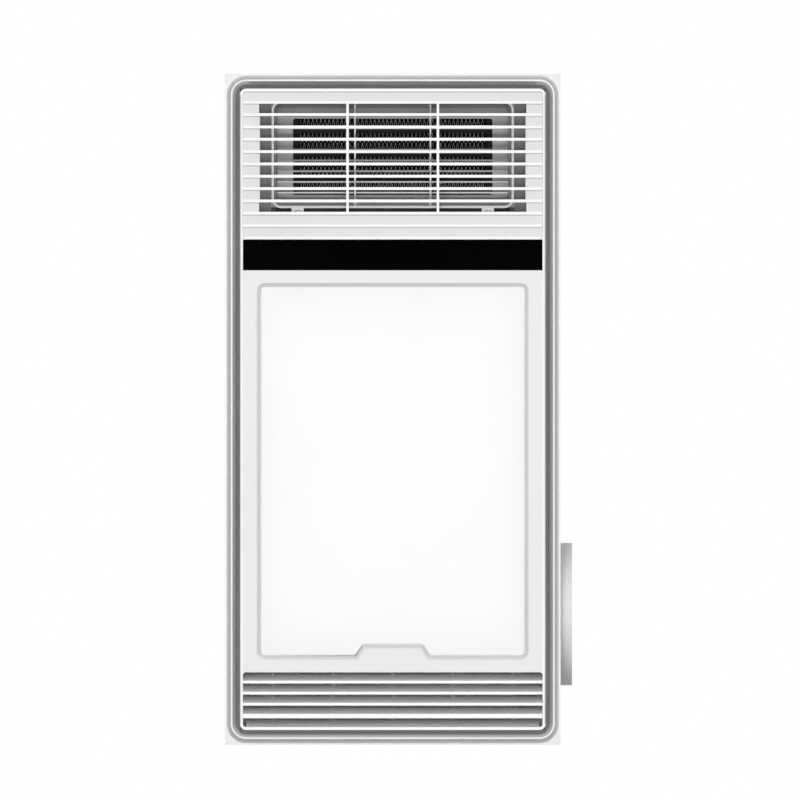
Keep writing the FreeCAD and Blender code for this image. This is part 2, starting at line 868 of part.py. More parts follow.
# Warm-air outlet grille: ribs over the whole insert, free slats and uprights across the window
def make_outlet_grille():
    body = new_body("outlet_grille")
    front = face_level + dim.rib_relief
    back = face_level + dim.grille_depth
    x = cavity_x - dim.fit_gap
    y = (dim.fit_gap - cavity_y, -outlet_edge - dim.fit_gap)
    half_rib = dim.rib_width / 2
    slats = whole(dim.outlet_slat_count)
    window_y = (half_rib - first_rib, (slats + 1) * dim.rib_spacing - half_rib - first_rib)

    base = sketch_on(body, "XY_Plane", front)
    add_rounded(base, both(x), y, cavity_corner)
    add_rectangle(base, both(window_x), window_y)
    pad(body, base, dim.grille_plate)

    wall = sketch_on(body, "XY_Plane", front)
    add_rectangle(wall, both(window_x + dim.slat_web), grown(window_y, dim.slat_web))
    add_rectangle(wall, both(window_x), window_y)
    pad(body, wall, back - front)

    rib = sketch_on(body, "XY_Plane", face_level)
    add_rectangle(rib, both(x), (-first_rib - half_rib, half_rib - first_rib))
    ribs = pad(body, rib, dim.rib_relief + dim.fit_gap)
    repeat(body, ribs, "Y_Axis", dim.rib_spacing, whole(dim.rib_count))
    trim = sketch_on(body, "XY_Plane", face_level)
    add_rectangle(trim, both(cavity_x), grown(y, dim.fit_gap))
    add_rounded(trim, both(x), y, cavity_corner)
    pocket(body, trim, dim.rib_relief + dim.fit_gap, back=True)

    second = dim.rib_spacing - first_rib
    web = sketch_on(body, "XY_Plane", face_level + dim.rib_relief / 2)
    half_web = dim.slat_web / 2
    add_rectangle(web, both(window_x + half_web), (second - half_web, second + half_web))
    webs = pad(body, web, dim.grille_depth - dim.rib_relief / 2)
    repeat(body, webs, "Y_Axis", dim.rib_spacing, slats)

    uprights = sketch_on(body, "XY_Plane", face_level + dim.upright_recess)
    half_upright = dim.upright_width / 2
    for side in (1, -1):
        middle = side * dim.upright_offset
        add_rectangle(uprights, (middle - half_upright, middle + half_upright), window_y)
    pad(body, uprights, dim.grille_depth - dim.upright_recess)

    ties = sketch_on(body, "XY_Plane", face_level + dim.end_tie_recess)
    tie_y = (second, (slats - 1) * dim.rib_spacing + second)
    add_rectangle(ties, (window_x - dim.end_tie_width, window_x + half_web), tie_y)
    add_rectangle(ties, (-window_x - half_web, dim.end_tie_width - window_x), tie_y)
    pad(body, ties, dim.grille_depth - dim.end_tie_recess)
    keep("outlet_grille", body)


# Black gloss strip in its recess
def make_trim_strip():
    body = new_body("trim_strip")
    outline = sketch_on(body, "XY_Plane", face_level + dim.strip_recess - dim.strip_thickness)
    y = (dim.fit_gap - outlet_edge, -strip_end - dim.fit_gap)
    x = cavity_x - dim.fit_gap
    add_rectangle(outline, both(x), y)
    pad(body, outline, dim.strip_thickness)
    level = (face_level + dim.strip_recess - dim.strip_thickness).value
    soften(body, "Fillet", "Radius", dim.strip_round, flat_within(level, values(both(x)), values(y)))
    keep("trim_strip", body)


# Intake grille: slats with blades that lean back by 45 degrees towards the warm-air end
def make_intake_grille():
    body = new_body("intake_grille")
    pitch = dim.slot_height + dim.slat_land
    length = 2 * (cavity_x - dim.fit_gap)
    root = face_level + dim.slat_land_depth
    tip = root + dim.blade_rise
    run = dim.blade_run
    steep = dim.blade_rise / run
    lean = dim.blade_lean
    first = intake_edge + dim.slot_height
    land_end = first + dim.slat_land
    profile = sketch_on(body, "YZ_Plane")
    add_polygon(
        profile,
        [
            (first, face_level),
            (land_end, face_level),
            (land_end, root),
            (first + lean, root),
            (first + lean - run, tip),
            (first - run, tip),
            (first, root),
        ],
    )
    slat = pad(body, profile, length, symmetric=True)
    slats = whole(dim.intake_slat_count)
    repeat(body, slat, "Y_Axis", pitch, slats)

    last = first + (slats - 1) * pitch
    wide = sketch_on(body, "YZ_Plane")
    add_rectangle(wide, (last + dim.slat_land / 2, last + dim.last_slat_land), (face_level, root))
    pad(body, wide, length, symmetric=True)

    edge = cavity_y - dim.fit_gap
    foot = sketch_on(body, "YZ_Plane")
    foot_top = edge - run
    add_polygon(foot, [(edge, root), (edge, root + lean * steep), (foot_top + lean, tip), (foot_top, tip)])
    pad(body, foot, length - 2 * cavity_corner, symmetric=True)
    notch_level = boss_level - dim.fit_gap
    notches = sketch_on(body, "XY_Plane", notch_level)
    for x, y in screw_places():
        if y.value > intake_edge.value:
            add_circle(notches, x, y, dim.panel_boss_radius + dim.fit_gap)
    pocket(body, notches, tip - notch_level, back=True)

    ribs = sketch_on(body, "XY_Plane", tip - dim.intake_rib_height)
    half_rib = dim.intake_rib / 2
    rib_count = whole(dim.intake_rib_count)
    for step in range(rib_count):
        middle = (step - (rib_count - 1) / 2) * (2 * cavity_x / rib_count)
        add_rectangle(ribs, (middle - half_rib, middle + half_rib), (intake_edge, foot_top + lean / 2))
    pad(body, ribs, dim.intake_rib_height)

    seam = sketch_on(body, "XY_Plane", face_level)
    middle = last + dim.last_slat_land / 2
    half_seam = dim.seam_width / 2
    add_rectangle(seam, both(cavity_x), (middle - half_seam, middle + half_seam))
    pocket(body, seam, dim.seam_depth, back=True)
    keep("intake_grille", body)


# Light cover: a shallow opal pan with a notch round the tongue, on two hinge pins
def make_light_cover():
    body = new_body("light_cover_body")
    front = face_level + dim.cover_recess
    corners = light_outline(dim.cover_gap)
    outline = sketch_on(body, "XY_Plane", front)
    add_polygon(outline, corners)
    pad(body, outline, dim.cover_height)
    outside = upright_at(corner_values(corners, (0, 1, 2, 7)))
    soften(body, "Fillet", "Radius", dim.light_corner - dim.cover_gap, outside)
    inside = upright_at(corner_values(corners, (4, 5)))
    soften(body, "Fillet", "Radius", dim.tongue_round + dim.cover_gap, inside)
    hollow = sketch_on(body, "XY_Plane", front + dim.cover_sheet)
    add_polygon(hollow, light_outline(dim.cover_gap + dim.cover_skirt))
    pocket(body, hollow, dim.cover_height, back=True)
    limits = (values(both(light_x)), values((-light_start, light_end)))
    soften(body, "Fillet", "Radius", dim.cover_round, flat_within(front.value, *limits))
    bore_radius = dim.hinge_pin_radius + dim.press_gap
    bores = [
        rod("cover_bore", "X", (x, hinge_y, hinge_z), bore_radius, 2 * dim.cover_skirt)
        for x in (light_x - 2 * dim.cover_skirt, -light_x)
    ]
    keep("light_cover", cut("light_cover", body, bores))

    pin_end = light_x + dim.contact_gap + dim.hinge_boss_length
    pins = [
        rod("hinge_pin", "X", (x, hinge_y, hinge_z), dim.hinge_pin_radius, dim.hinge_pin_length)
        for x in (pin_end - dim.hinge_pin_length, -pin_end)
    ]
    keep("cover_hinge_pins", group("cover_hinge_pins", pins))

    skirt_top = front + dim.cover_height
    skirt_y = (light_end - dim.cover_gap - dim.catch_width, light_end - dim.cover_gap)
    plates, magnets = [], []
    for middle in both(dim.catch_offset):
        x = span(middle, dim.catch_length)
        plates.append(block("catch_plate", x, skirt_y, (skirt_top, skirt_top + dim.catch_thickness)))
        magnet_low = skirt_top + dim.catch_thickness + dim.contact_gap
        magnets.append(block("catch_magnet", x, skirt_y, (magnet_low, dim.tray_top - dim.tray_sheet)))
    keep("catch_plates", group("catch_plates", plates))
    keep("catch_magnets", group("catch_magnets", magnets))


# Light tray with its flange on the back of the face panel, and the lamps in it
def tray_screws():
    """Where the tray is screwed to the face panel."""
    x = tray_x + dim.tray_sheet + dim.tray_flange / 2
    rows = [tray_y[0] + dim.tray_screw_inset, (tray_y[0] + tray_y[1]) / 2, tray_y[1] - dim.tray_screw_inset]
    return [(side, row) for side in both(x) for row in rows]


def make_led_tray():
    body = new_body("led_tray_body")
    sheet_y = (tray_y[0] - dim.tray_sheet, tray_y[1] + dim.tray_sheet)
    outline = sketch_on(body, "XY_Plane", plate_back)
    add_rounded(outline, both(tray_x + dim.tray_sheet), sheet_y, dim.tray_corner)
    pad(body, outline, dim.tray_top - plate_back)
    flange = sketch_on(body, "XY_Plane", plate_back)
    reach = dim.tray_sheet + dim.tray_flange
    flange_y = (tray_y[0] - reach, tray_y[1] + reach)
    add_rounded(flange, both(tray_x + reach), flange_y, dim.tray_corner)
    pad(body, flange, dim.tray_sheet)
    hollow = sketch_on(body, "XY_Plane", plate_back)
    add_rounded(hollow, both(tray_x), tray_y, dim.tray_corner - dim.tray_sheet)
    pocket(body, hollow, dim.tray_top - dim.tray_sheet - plate_back, back=True)
    holes = [hole("tray_hole", x, y, plate_back, plate_back + dim.tray_sheet) for x, y in tray_screws()]
    keep("led_tray", cut("led_tray", body, holes))
    seat = plate_back + dim.tray_sheet
    length = dim.tray_sheet + dim.face_plate / 2 - dim.screw_gap
    screws = [screw("tray_screw", "Z", (x, y, seat), 1, length) for x, y in tray_screws()]
    keep("tray_screws", group("tray_screws", screws))


def make_lamps():
    middle = (light_end - light_start) / 2
    top = dim.tray_top - dim.tray_sheet
    under = top - dim.board_thickness
    boards, chips = [], []
    board_count = whole(dim.board_count)
    chip_count = whole(dim.chip_count)
    for board in range(board_count):
        x = (board - (board_count - 1) / 2) * dim.board_spacing
        boards.append(block("led_board", span(x, dim.board_width), span(middle, board_length), (under, top)))
        for place_in_row in range(chip_count):
            y = middle + (place_in_row - (chip_count - 1) / 2) * (board_length / chip_count)
            chip_z = (under - dim.chip_height, under)
            chips.append(block("led_chip", span(x, dim.chip_width), span(y, dim.chip_length), chip_z))
    keep("led_boards", group("led_boards", boards))
    keep("led_chips", group("led_chips", chips))
    x = span(driver_x, dim.driver_width)
    y = span(dim.driver_y, dim.driver_length)
    keep("led_driver", block("led_driver", x, y, (dim.tray_top, dim.tray_top + dim.driver_height)))


# Housing: a sheet-steel box with pressed ribs on its roof, on a flange frame that lies on the panel's ledge
flange_top = ledge_top + dim.housing_sheet


def make_housing_flange():
    body = new_body("housing_flange_body")
    outline = sketch_on(body, "XY_Plane", ledge_top)
    reach = dim.housing_flange
    add_rounded(outline, both(housing_x + reach), both(housing_y + reach), dim.housing_corner)
    add_rounded(outline, both(inside_x), both(inside_y), dim.housing_corner - dim.housing_sheet)
    pad(body, outline, dim.housing_sheet)
    holes = [hole("flange_hole", x, y, ledge_top, flange_top) for x, y in screw_places()]
    keep("housing_flange", cut("housing_flange", body, holes))
    length = dim.housing_sheet + dim.moulding_wall + dim.pilot_length - dim.contact_gap
    screws = [screw("panel_screw", "Z", (x, y, flange_top), 1, length) for x, y in screw_places()]
    keep("panel_screws", group("panel_screws", screws))


def make_housing():
    body = new_body("housing_body")
    outline = sketch_on(body, "XY_Plane", flange_top)
    add_rounded(outline, both(housing_x), both(housing_y), dim.housing_corner)
    pad(body, outline, dim.housing_top - flange_top)
    roof = sketch_on(body, "XY_Plane", dim.housing_top)
    half_rib = dim.press_rib_width / 2
    half_run = housing_y - dim.press_rib_end
    for middle in both(housing_x - dim.press_rib_inset):
        add_rounded(roof, span(middle, dim.press_rib_width), both(half_run), half_rib - dim.press_rib_height)
    pad(body, roof, dim.press_rib_height)
    rib_top = (dim.housing_top + dim.press_rib_height).value
    limits = (values(both(housing_x)), values(both(housing_y)))
    soften(body, "Fillet", "Radius", dim.press_rib_round, flat_within(rib_top, *limits))
    hollow = sketch_on(body, "XY_Plane", flange_top)
    add_rounded(hollow, both(inside_x), both(inside_y), dim.housing_corner - dim.housing_sheet)
    pocket(body, hollow, inside_top - flange_top, back=True)
    tools = []
    tools.append(rod("duct_hole", "X", (inside_x, duct_y, dim.duct_z), dim.duct_throat, dim.housing_sheet))
    tools.append(
        rod("wire_hole", "X", (-housing_x, dim.wiring_y, dim.wiring_z), dim.gland_radius, dim.housing_sheet)
    )
    tools += [hole("roof_hole", x, y, inside_top, dim.housing_top) for x, y in roof_screws()]
    tools += [
        rod("rivet_hole", "Y", (x, y, z), dim.rivet_radius + dim.screw_gap, dim.housing_sheet)
        for x, y, z in rivet_places(inside_y)
    ]
    tools += collar_holes(inside_x, dim.housing_sheet)
    keep("housing", cut("housing", body, tools))


# Hanger brackets on the two end walls, each with one fixing hole and two rivets
def rivet_places(wall):
    """Rivet axes at both ends, starting from the low side of a wall that begins at this distance."""
    z = dim.hanger_height + dim.hanger_sheet + dim.hanger_drop / 2
    places = []
    for x in both(half_width - dim.hanger_inset):
        for side in both(dim.rivet_spacing / 2):
            places.append((x + side, wall, z))
            places.append((x + side, -wall - dim.housing_sheet, z))
    return places


def make_hangers():
    brackets, rivets = [], []
    low = dim.hanger_height
    foot_top = low + dim.hanger_sheet
    top = foot_top + dim.hanger_drop
    middle = foot_top + dim.hanger_drop / 2
    grip = dim.hanger_sheet + dim.housing_sheet
    for x in both(half_width - dim.hanger_inset):
        for side in (1, -1):

            def outward(low_end, high_end):
                """A (low, high) pair on this side of the housing, from distances along the way out."""
                return (low_end, high_end) if side > 0 else (-high_end, -low_end)

            wide = span(x, dim.hanger_width)
            leg_y = outward(housing_y, housing_y + dim.hanger_sheet)
            foot_y = outward(housing_y, housing_y + dim.hanger_reach)
            leg = block("leg", wide, leg_y, (low, top))
            foot = block("foot", wide, foot_y, (low, foot_top))
            fixing = (x, side * (housing_y + dim.hanger_hole_out), low)
            tools = [rod("fixing", "Z", fixing, dim.hanger_hole_radius, dim.hanger_sheet)]
            shank_y = outward(inside_y, housing_y + dim.hanger_sheet)[0]
            head_low = housing_y + dim.hanger_sheet
            head_y = outward(head_low, head_low + dim.rivet_head_height)[0]
            hole_radius = dim.rivet_radius + dim.screw_gap
            for spot in span(x, dim.rivet_spacing):
                tools.append(rod("rivet_hole", "Y", (spot, leg_y[0], middle), hole_radius, dim.hanger_sheet))
                shank = rod("shank", "Y", (spot, shank_y, middle), dim.rivet_radius, grip)
                head = rod("head", "Y", (spot, head_y, middle), dim.rivet_head_radius, dim.rivet_head_height)
                rivets.append(fuse("rivet", [shank, head]))
            brackets.append(cut("hanger", fuse("hanger_angle", [leg, foot]), tools))
    keep("hanger_brackets", group("hanger_brackets", brackets))
    keep("bracket_rivets", group("bracket_rivets", rivets))


# Air nozzle: a rounded funnel with comb ribs, side wings, screw tabs and a back plate for the heater
def make_nozzle():
    body = new_body("nozzle_body")

    def ring(level, width, height, centre, corner, inset, name):
        sketch = sketch_on(body, "XY_Plane", level, name)
        x = both(width / 2 - inset)
        y = (inset - centre - height / 2, height / 2 - centre - inset)
        return add_rounded(sketch, x, y, corner - inset)

    lip = (dim.lip_level, lip_width, dim.lip_height, lip_centre, dim.lip_corner)
    throat = (dim.throat_level, throat_width, dim.throat_height, throat_centre, dim.throat_corner)
    pad(body, ring(*throat, Size(0), "throat"), dim.nozzle_back - dim.throat_level)
    funnel = body.newObject("PartDesign::AdditiveLoft", "funnel")
    funnel.Profile = ring(*lip, Size(0), "lip")
    funnel.Sections = [ring(*throat, Size(0), "funnel_end")]
    funnel.Ruled = True
    doc.recompute()
    plate = sketch_on(body, "XY_Plane", dim.nozzle_back)
    add_rectangle(plate, both(hood_x), (dim.hood_gap - inside_y, -hood_end))
    pad(body, plate, dim.back_plate)
    pocket(body, ring(*throat, dim.nozzle_wall, "bore"), dim.nozzle_back - dim.throat_level, back=True)
    mouth = body.newObject("PartDesign::SubtractiveLoft", "mouth")
    mouth.Profile = ring(*lip, dim.nozzle_wall, "mouth_start")
    mouth.Sections = [ring(*throat, dim.nozzle_wall, "mouth_end")]
    mouth.Ruled = True
    doc.recompute()
    window = sketch_on(body, "XY_Plane", dim.nozzle_back)
    window_y = (-core_start, dim.core_window_height - core_start)
    add_rounded(window, both(half_width - dim.core_window_inset), window_y, dim.core_window_corner)
    pocket(body, window, dim.back_plate, back=True)

    extras = []
    inner_y = span(-throat_centre, dim.throat_height - dim.nozzle_wall)
    comb_z = (dim.throat_level, dim.throat_level + dim.comb_depth)
    for x in both(dim.comb_offset):
        extras.append(block("comb", span(x, dim.comb_thickness), inner_y, comb_z))
    wing_y = (dim.housing_corner - dim.housing_sheet - inside_y, -wing_end)
    wing_z = (dim.wing_level, dim.wing_level + dim.wing_thickness)
    wing_root = nozzle_side - dim.nozzle_wall / 2
    wing_tip = inside_x - dim.contact_gap
    extras.append(block("wing", (wing_root, wing_tip), wing_y, wing_z))
    extras.append(block("wing", (-wing_tip, -wing_root), wing_y, wing_z))
    tab_z = (dim.lip_level, dim.lip_level + dim.tab_thickness)
    tab_root = dim.lip_height / 2 - lip_centre - dim.nozzle_wall / 2
    for x in both(tab_offset):
        extras.append(block("tab", span(x, dim.tab_width), (tab_root, -tab_end), tab_z))
    for side in both(dim.louver_motor_ear):
        start = (nozzle_side - dim.nozzle_wall / 2, motor_y + side, motor_z)
        length = dim.louver_motor_stand + dim.nozzle_wall / 2
        extras.append(rod("motor_post", "X", start, dim.louver_motor_post, length))

    tools = []
    bore = dim.louver_pin_radius + dim.running_gap
    for step in range(whole(dim.louver_count)):
        y = louver_y(step)
        tools.append(rod("pivot", "X", (-nozzle_side, y, dim.louver_level), bore, throat_width))
        for x in both(dim.comb_offset):
            slot_x = (x - dim.comb_thickness, x + dim.comb_thickness)
            tools.append(block("comb_slot", slot_x, (y - bore, y + bore), (dim.louver_level, comb_z[1])))
    for x in both(tab_offset):
        tools.append(hole("tab_hole", x, -tab_screw, *tab_z))
    keep("air_nozzle", cut("air_nozzle", fuse("nozzle_with_ribs", [body] + extras), tools))


# Swing blades, linked by a bar on the -X side and turned by a small motor on the +X side
def louver_y(step):
    return dim.louver_spacing * step - louver_first


drive_step = 3
motor_y = louver_y(drive_step)
motor_z = dim.louver_level + dim.louver_motor_offset
pin_end = nozzle_side + dim.louver_pin_reach
crank_start = nozzle_side + dim.contact_gap
link_start = crank_start + dim.crank_thickness + dim.contact_gap


def make_louvers():
    half_chord = dim.louver_chord / 2
    half_thick = dim.louver_thickness / 2
    blade_z = (dim.louver_level - half_chord, dim.louver_level + half_chord)
    tip = throat_x - dim.louver_end_gap
    near = dim.comb_offset - dim.comb_thickness / 2 - dim.comb_side_gap
    far = dim.comb_offset + dim.comb_thickness / 2 + dim.comb_side_gap
    crank_z = dim.louver_level + dim.crank_radius
    half_crank = dim.crank_width / 2
    for step in range(whole(dim.louver_count)):
        y = louver_y(step)
        thick = (y - half_thick, y + half_thick)
        crank_x = (-crank_start - dim.crank_thickness, -crank_start)
        crank_span = (dim.louver_level - half_crank, crank_z + half_crank)
        link_pin = dim.crank_thickness + dim.contact_gap + dim.link_thickness
        pieces = [block("blade", wide, thick, blade_z) for wide in ((-tip, -far), both(near), (far, tip))]
        pieces += [
            rod("spindle", "X", (-crank_start - half_thick, y, dim.louver_level), dim.louver_pin_radius,
                crank_start + half_thick + pin_end),
            block("crank", crank_x, (y - half_crank, y + half_crank), crank_span),
            rod("crank_pin", "X", (-crank_start - link_pin, y, crank_z), dim.crank_pin_radius, link_pin),
        ]
        keep(f"louver_{step + 1}", fuse(f"louver_{step + 1}", pieces))

    half_link = dim.link_width / 2
    link_y = (louver_y(0) - half_link, louver_y(whole(dim.louver_count) - 1) + half_link)
    link_x = (-link_start - dim.link_thickness, -link_start)
    bar = block("link_bar", link_x, link_y, (crank_z - half_link, crank_z + half_link))
    bores = [
        rod("link_bore", "X", (link_x[0], louver_y(step), crank_z), dim.crank_pin_radius + dim.running_gap,
            dim.link_thickness)
        for step in range(whole(dim.louver_count))
    ]
    keep("louver_link", cut("louver_link", bar, bores))

    start = (pin_end, motor_y, dim.louver_level)
    shaft = rod("louver_motor_shaft", "X", start, dim.louver_pin_radius, dim.motor_shaft_length)
    keep("louver_motor_shaft", shaft)
    face = nozzle_side + dim.louver_motor_stand
    case = rod("case", "X", (face, motor_y, motor_z), dim.louver_motor_radius, dim.louver_motor_length)
    ears = block(
        "ears",
        (face, face + dim.louver_thickness),
        span(motor_y, 2 * (dim.louver_motor_ear + dim.louver_motor_post)),
        span(motor_z, 2 * dim.louver_motor_post),
    )
    bore = rod("bore", "X", (face, motor_y, dim.louver_level), dim.louver_pin_radius + dim.running_gap,
               dim.motor_shaft_length)
    keep("louver_motor", cut("louver_motor", fuse("motor_with_ears", [case, ears]), [bore]))


# Heating block: ceramic heater bars, each between two rows of corrugated fins, in a plastic frame
def make_heating_block():
    low = back_top
    high = low + dim.core_depth
    module = 2 * dim.fin_height + dim.rod_thickness

    fold = dim.fin_height - 2 * dim.fin_gap
    strip = corrugated_strip((2 * core_x).value, fold.value, dim.core_depth.value)
    bars, terminals, fins = [], [], []
    for step in range(whole(dim.rod_count)):
        start = step * module - core_start
        bar = (start + dim.fin_height, start + dim.fin_height + dim.rod_thickness)
        bars.append(block("ptc_bar", both(core_x), bar, (low, high)))
        tab_x = span(dim.terminal_inset - core_x, dim.terminal_width)
        tab_y = span(bar[0] + dim.rod_thickness / 2, dim.terminal_thickness)
        terminals.append(block("ptc_tab", tab_x, tab_y, (high, high + dim.terminal_length)))
        for fin_start in (start, bar[1]):
            fin = doc.addObject("Part::Feature", "ptc_fin")
            fin.Shape = strip
            fins.append(place(fin, -core_x, fin_start + dim.fin_gap, low))
    keep("ptc_rods", group("ptc_rods", bars))
    keep("ptc_terminals", group("ptc_terminals", terminals))
    keep("ptc_fins", group("ptc_fins", fins))

    frame_x = core_x + dim.holder_end
    outer = block("holder_outer", both(frame_x), grown(core_y, dim.holder_side), (low, high + dim.holder_lip))
    gap = dim.fit_gap
    seat_y = grown(core_y, gap)
    inner = block("holder_inner", both(core_x + gap), seat_y, (low, high + gap))
    above = block("holder_above", both(core_x - dim.holder_lip), seat_y, (high, high + dim.holder_lip))
    keep("ptc_holder", cut("ptc_holder", outer, [inner, above]))

    side = hood_x
    base = (side, -cutout_y, dim.cutout_z)
    pieces = [
        rod("cutout_base", "X", base, dim.cutout_base_radius, dim.cutout_base),
        rod("cutout_can", "X", base, dim.cutout_radius, dim.cutout_height),
    ]
    keep("thermal_cutout", fuse("thermal_cutout", pieces))


def corrugated_strip(length, height, depth):
    """A folded fin strip along X: a zigzag sheet stood on edge, from its lower corner."""
    half_period = float(sheet.get("fin_spacing")) / 2
    thickness = float(sheet.get("fin_thickness"))
    folds = int(length / half_period) - 1
    edge = (length - folds * half_period - thickness) / 2
    front, back = [], []
    for fold in range(folds + 1):
        x = edge + fold * half_period
        level = 0 if fold % 2 == 0 else height - thickness
        front.append(FreeCAD.Vector(x, level, 0))
        back.append(FreeCAD.Vector(x, level + thickness, 0))
    outline = front + back[::-1]
    return Part.Face(Part.makePolygon(outline + outline[:1])).extrude(FreeCAD.Vector(0, 0, depth))


# Hot-air hood over the heating block, and the strips that hold the nozzle tabs
def blower_sides():
    """The two sides of a blower's mouth, measured across from the fan's axis."""
    outer = dim.scroll_growth / 2 + scroll_radius + 3 * dim.scroll_growth
    return outer - dim.blower_mouth, outer


def make_hood():
    x = hood_x
    y = (dim.hood_gap - inside_y, -hood_end)
    top = inside_top - dim.hood_top_gap
    sheet_gap = dim.hood_sheet
    shell = block("hood_shell", both(x), y, (back_top, top))
    hollow = block("hood_hollow", both(x - sheet_gap), grown(y, -sheet_gap), (back_top, top - sheet_gap))
    near, far = blower_sides()
    gap = dim.fit_gap
    mouth = block(
        "hood_mouth",
        (heater_x - far - gap, heater_x - near + gap),
        (y[1] - sheet_gap, y[1]),
        (dim.blower_base - dim.inlet_plate - gap, dim.blower_base + dim.blower_height + gap),
    )
    keep("hot_air_hood", cut("hot_air_hood", shell, [hollow, mouth]))

    foot = dim.lip_level + dim.tab_thickness
    sheet_top = foot + dim.bracket_sheet
    screw_length = dim.tab_thickness + dim.bracket_sheet + dim.pilot_length
    strips, screws = [], []
    for middle in both(tab_offset):
        wide = span(middle, dim.tab_width)
        leg = block("bracket_leg", wide, (y[1], y[1] + dim.bracket_sheet), (foot, dim.bracket_top))
        toe = block("bracket_toe", wide, (-bracket_foot_end, y[1] + dim.bracket_sheet), (foot, sheet_top))
        pilot = hole("bracket_hole", middle, -tab_screw, foot, sheet_top)
        strips.append(cut("nozzle_bracket", fuse("bracket_angle", [leg, toe]), [pilot]))
        seat = (middle, -tab_screw, dim.lip_level)
        screws.append(screw("nozzle_screw", "Z", seat, -1, screw_length))
    keep("nozzle_brackets", group("nozzle_brackets", strips))
    keep("nozzle_screws", group("nozzle_screws", screws))


# Blowers: spiral case, inlet plate with its eye, bladed wheel, shaft and motor
def scroll_outline(sketch, inset, mouth_end, hand):
    """Four quarter arcs with growing radii and a straight mouth; hand -1 is the mirror image."""
    half = dim.scroll_growth / 2
    radii = [scroll_radius + dim.scroll_growth * turn - inset for turn in range(4)]
    near, far = blower_sides()
    near = near + inset
    far = far - inset
    centres = [(-half, half), (-half, -half), (half, -half), (half, half)]
    joints = [(-half, half + radii[0]), (-half - radii[1], -half), (half, -half - radii[2]), (far, half)]
    cutoff = math.degrees(math.acos((near + half).value / radii[0].value))
    turns = [(cutoff, 90), (90, 180), (180, 270), (270, 360)]
    for (x, y), radius, (start, end) in zip(centres, radii, turns):
        if hand < 0:
            start, end = 180 - end, 180 - start
        centre = FreeCAD.Vector(hand * x.value, y.value, 0)
        circle = Part.Circle(centre, FreeCAD.Vector(0, 0, 1), radius.value)
        sketch.addGeometry(Part.ArcOfCircle(circle, math.radians(start), math.radians(end)), False)
    lip = half + radii[0] * math.sin(math.radians(cutoff))
    corners = [values(corner) for corner in ((far, half), (far, mouth_end), (near, mouth_end), (near, lip))]
    for start, end in zip(corners, corners[1:]):
        ends = [FreeCAD.Vector(hand * x, y, 0) for x, y in (start, end)]
        sketch.addGeometry(Part.LineSegment(*ends), False)
    first, last = (1, 2) if hand > 0 else (2, 1)
    turned = [(0, last, 1, first), (1, last, 2, first), (2, last, 3, first)]
    straight = [(3, last, 4, 1), (4, 2, 5, 1), (5, 2, 6, 1), (6, 2, 0, first)]
    for link in turned + straight:
        sketch.addConstraint(Sketcher.Constraint("Coincident", *link))
    for arc, (x, y) in enumerate(joints):
        pin_point(sketch, arc, last, hand * x, y)
        dimension(sketch, "Radius", radii[arc], arc)
    dimension(sketch, "DistanceX", hand * centres[0][0], -1, 1, 0, 3)
    pin_point(sketch, 4, 2, hand * far, mouth_end)
    pin_point(sketch, 5, 2, hand * near, mouth_end)
    sketch.addConstraint(Sketcher.Constraint("Vertical", 6))
    return sketch


def post_places(x, y):
    return [(x + side, y + end) for side in both(dim.post_offset) for end in both(dim.post_offset)]


exhaust_y = duct_y - (dim.scroll_growth / 2 + scroll_radius + 3 * dim.scroll_growth - dim.blower_mouth / 2)
BLOWERS = {
    "heater": (heater_x, heater_y, 180, 1, hood_end + dim.hood_sheet + heater_y),
    "exhaust": (exhaust_x, exhaust_y, -90, -1, inside_x - exhaust_x),
}


def roof_screws():
    """Where the blowers hang from the housing's roof."""
    return [spot for x, y, *_ in BLOWERS.values() for spot in post_places(x, y)]


def turned_body(name, x, y, turn=0):
    body = new_body(name)
    body.Placement = FreeCAD.Placement(FreeCAD.Vector(), FreeCAD.Rotation(FreeCAD.Vector(0, 0, 1), turn))
    return place(body, x, y)


def make_blower(name, x, y, turn, hand, mouth_end):
    base = dim.blower_base
    roof = base + dim.blower_height
    body = turned_body(f"{name}_case", x, y, turn)
    pad(body, scroll_outline(sketch_on(body, "XY_Plane", base), Size(0), mouth_end, hand), dim.blower_height)
    hollow = scroll_outline(sketch_on(body, "XY_Plane", base), dim.blower_wall, mouth_end, hand)
    pocket(body, hollow, dim.blower_height - dim.blower_wall, back=True)
    posts = post_places(x, y)
    pieces = [rod("post", "Z", (px, py, roof), dim.post_radius, inside_top - roof) for px, py in posts]
    tools = [hole("post_pilot", px, py, inside_top - dim.pilot_length, inside_top) for px, py in posts]
    eye = dim.shaft_radius + dim.shaft_clearance
    tools.append(rod("shaft_eye", "Z", (x, y, roof - dim.blower_wall), eye, dim.blower_wall))
    if name == "exhaust":
        start = (inside_x - dim.mouth_flange_sheet, duct_y, dim.duct_z)
        pieces.append(rod("mouth_flange", "X", start, dim.mouth_flange, dim.mouth_flange_sheet))
        opening = span(duct_y, dim.blower_mouth - 2 * dim.blower_wall)
        level = (base, roof - dim.blower_wall)
        tools.append(block("mouth_opening", (start[0], inside_x), opening, level))
    keep(f"{name}_volute", cut(f"{name}_volute", fuse(f"{name}_case_posts", [body] + pieces), tools))

    plate = turned_body(f"{name}_plate", x, y, turn)
    bottom = base - dim.inlet_plate
    reach = mouth_end if name == "heater" else mouth_end - dim.mouth_flange_sheet
    pad(plate, scroll_outline(sketch_on(plate, "XY_Plane", bottom), Size(0), reach, hand), dim.inlet_plate)
    rim = rod("inlet_rim", "Z", (x, y, base), inlet_radius + dim.inlet_plate, dim.inlet_collar)
    hole_through = rod("inlet_eye", "Z", (x, y, bottom), inlet_radius, dim.inlet_plate + dim.inlet_collar)
    keep(f"{name}_inlet", cut(f"{name}_inlet", fuse(f"{name}_plate_rim", [plate, rim]), [hole_through]))
    make_wheel(name, x, y, hand)
    make_motor(name, x, y)


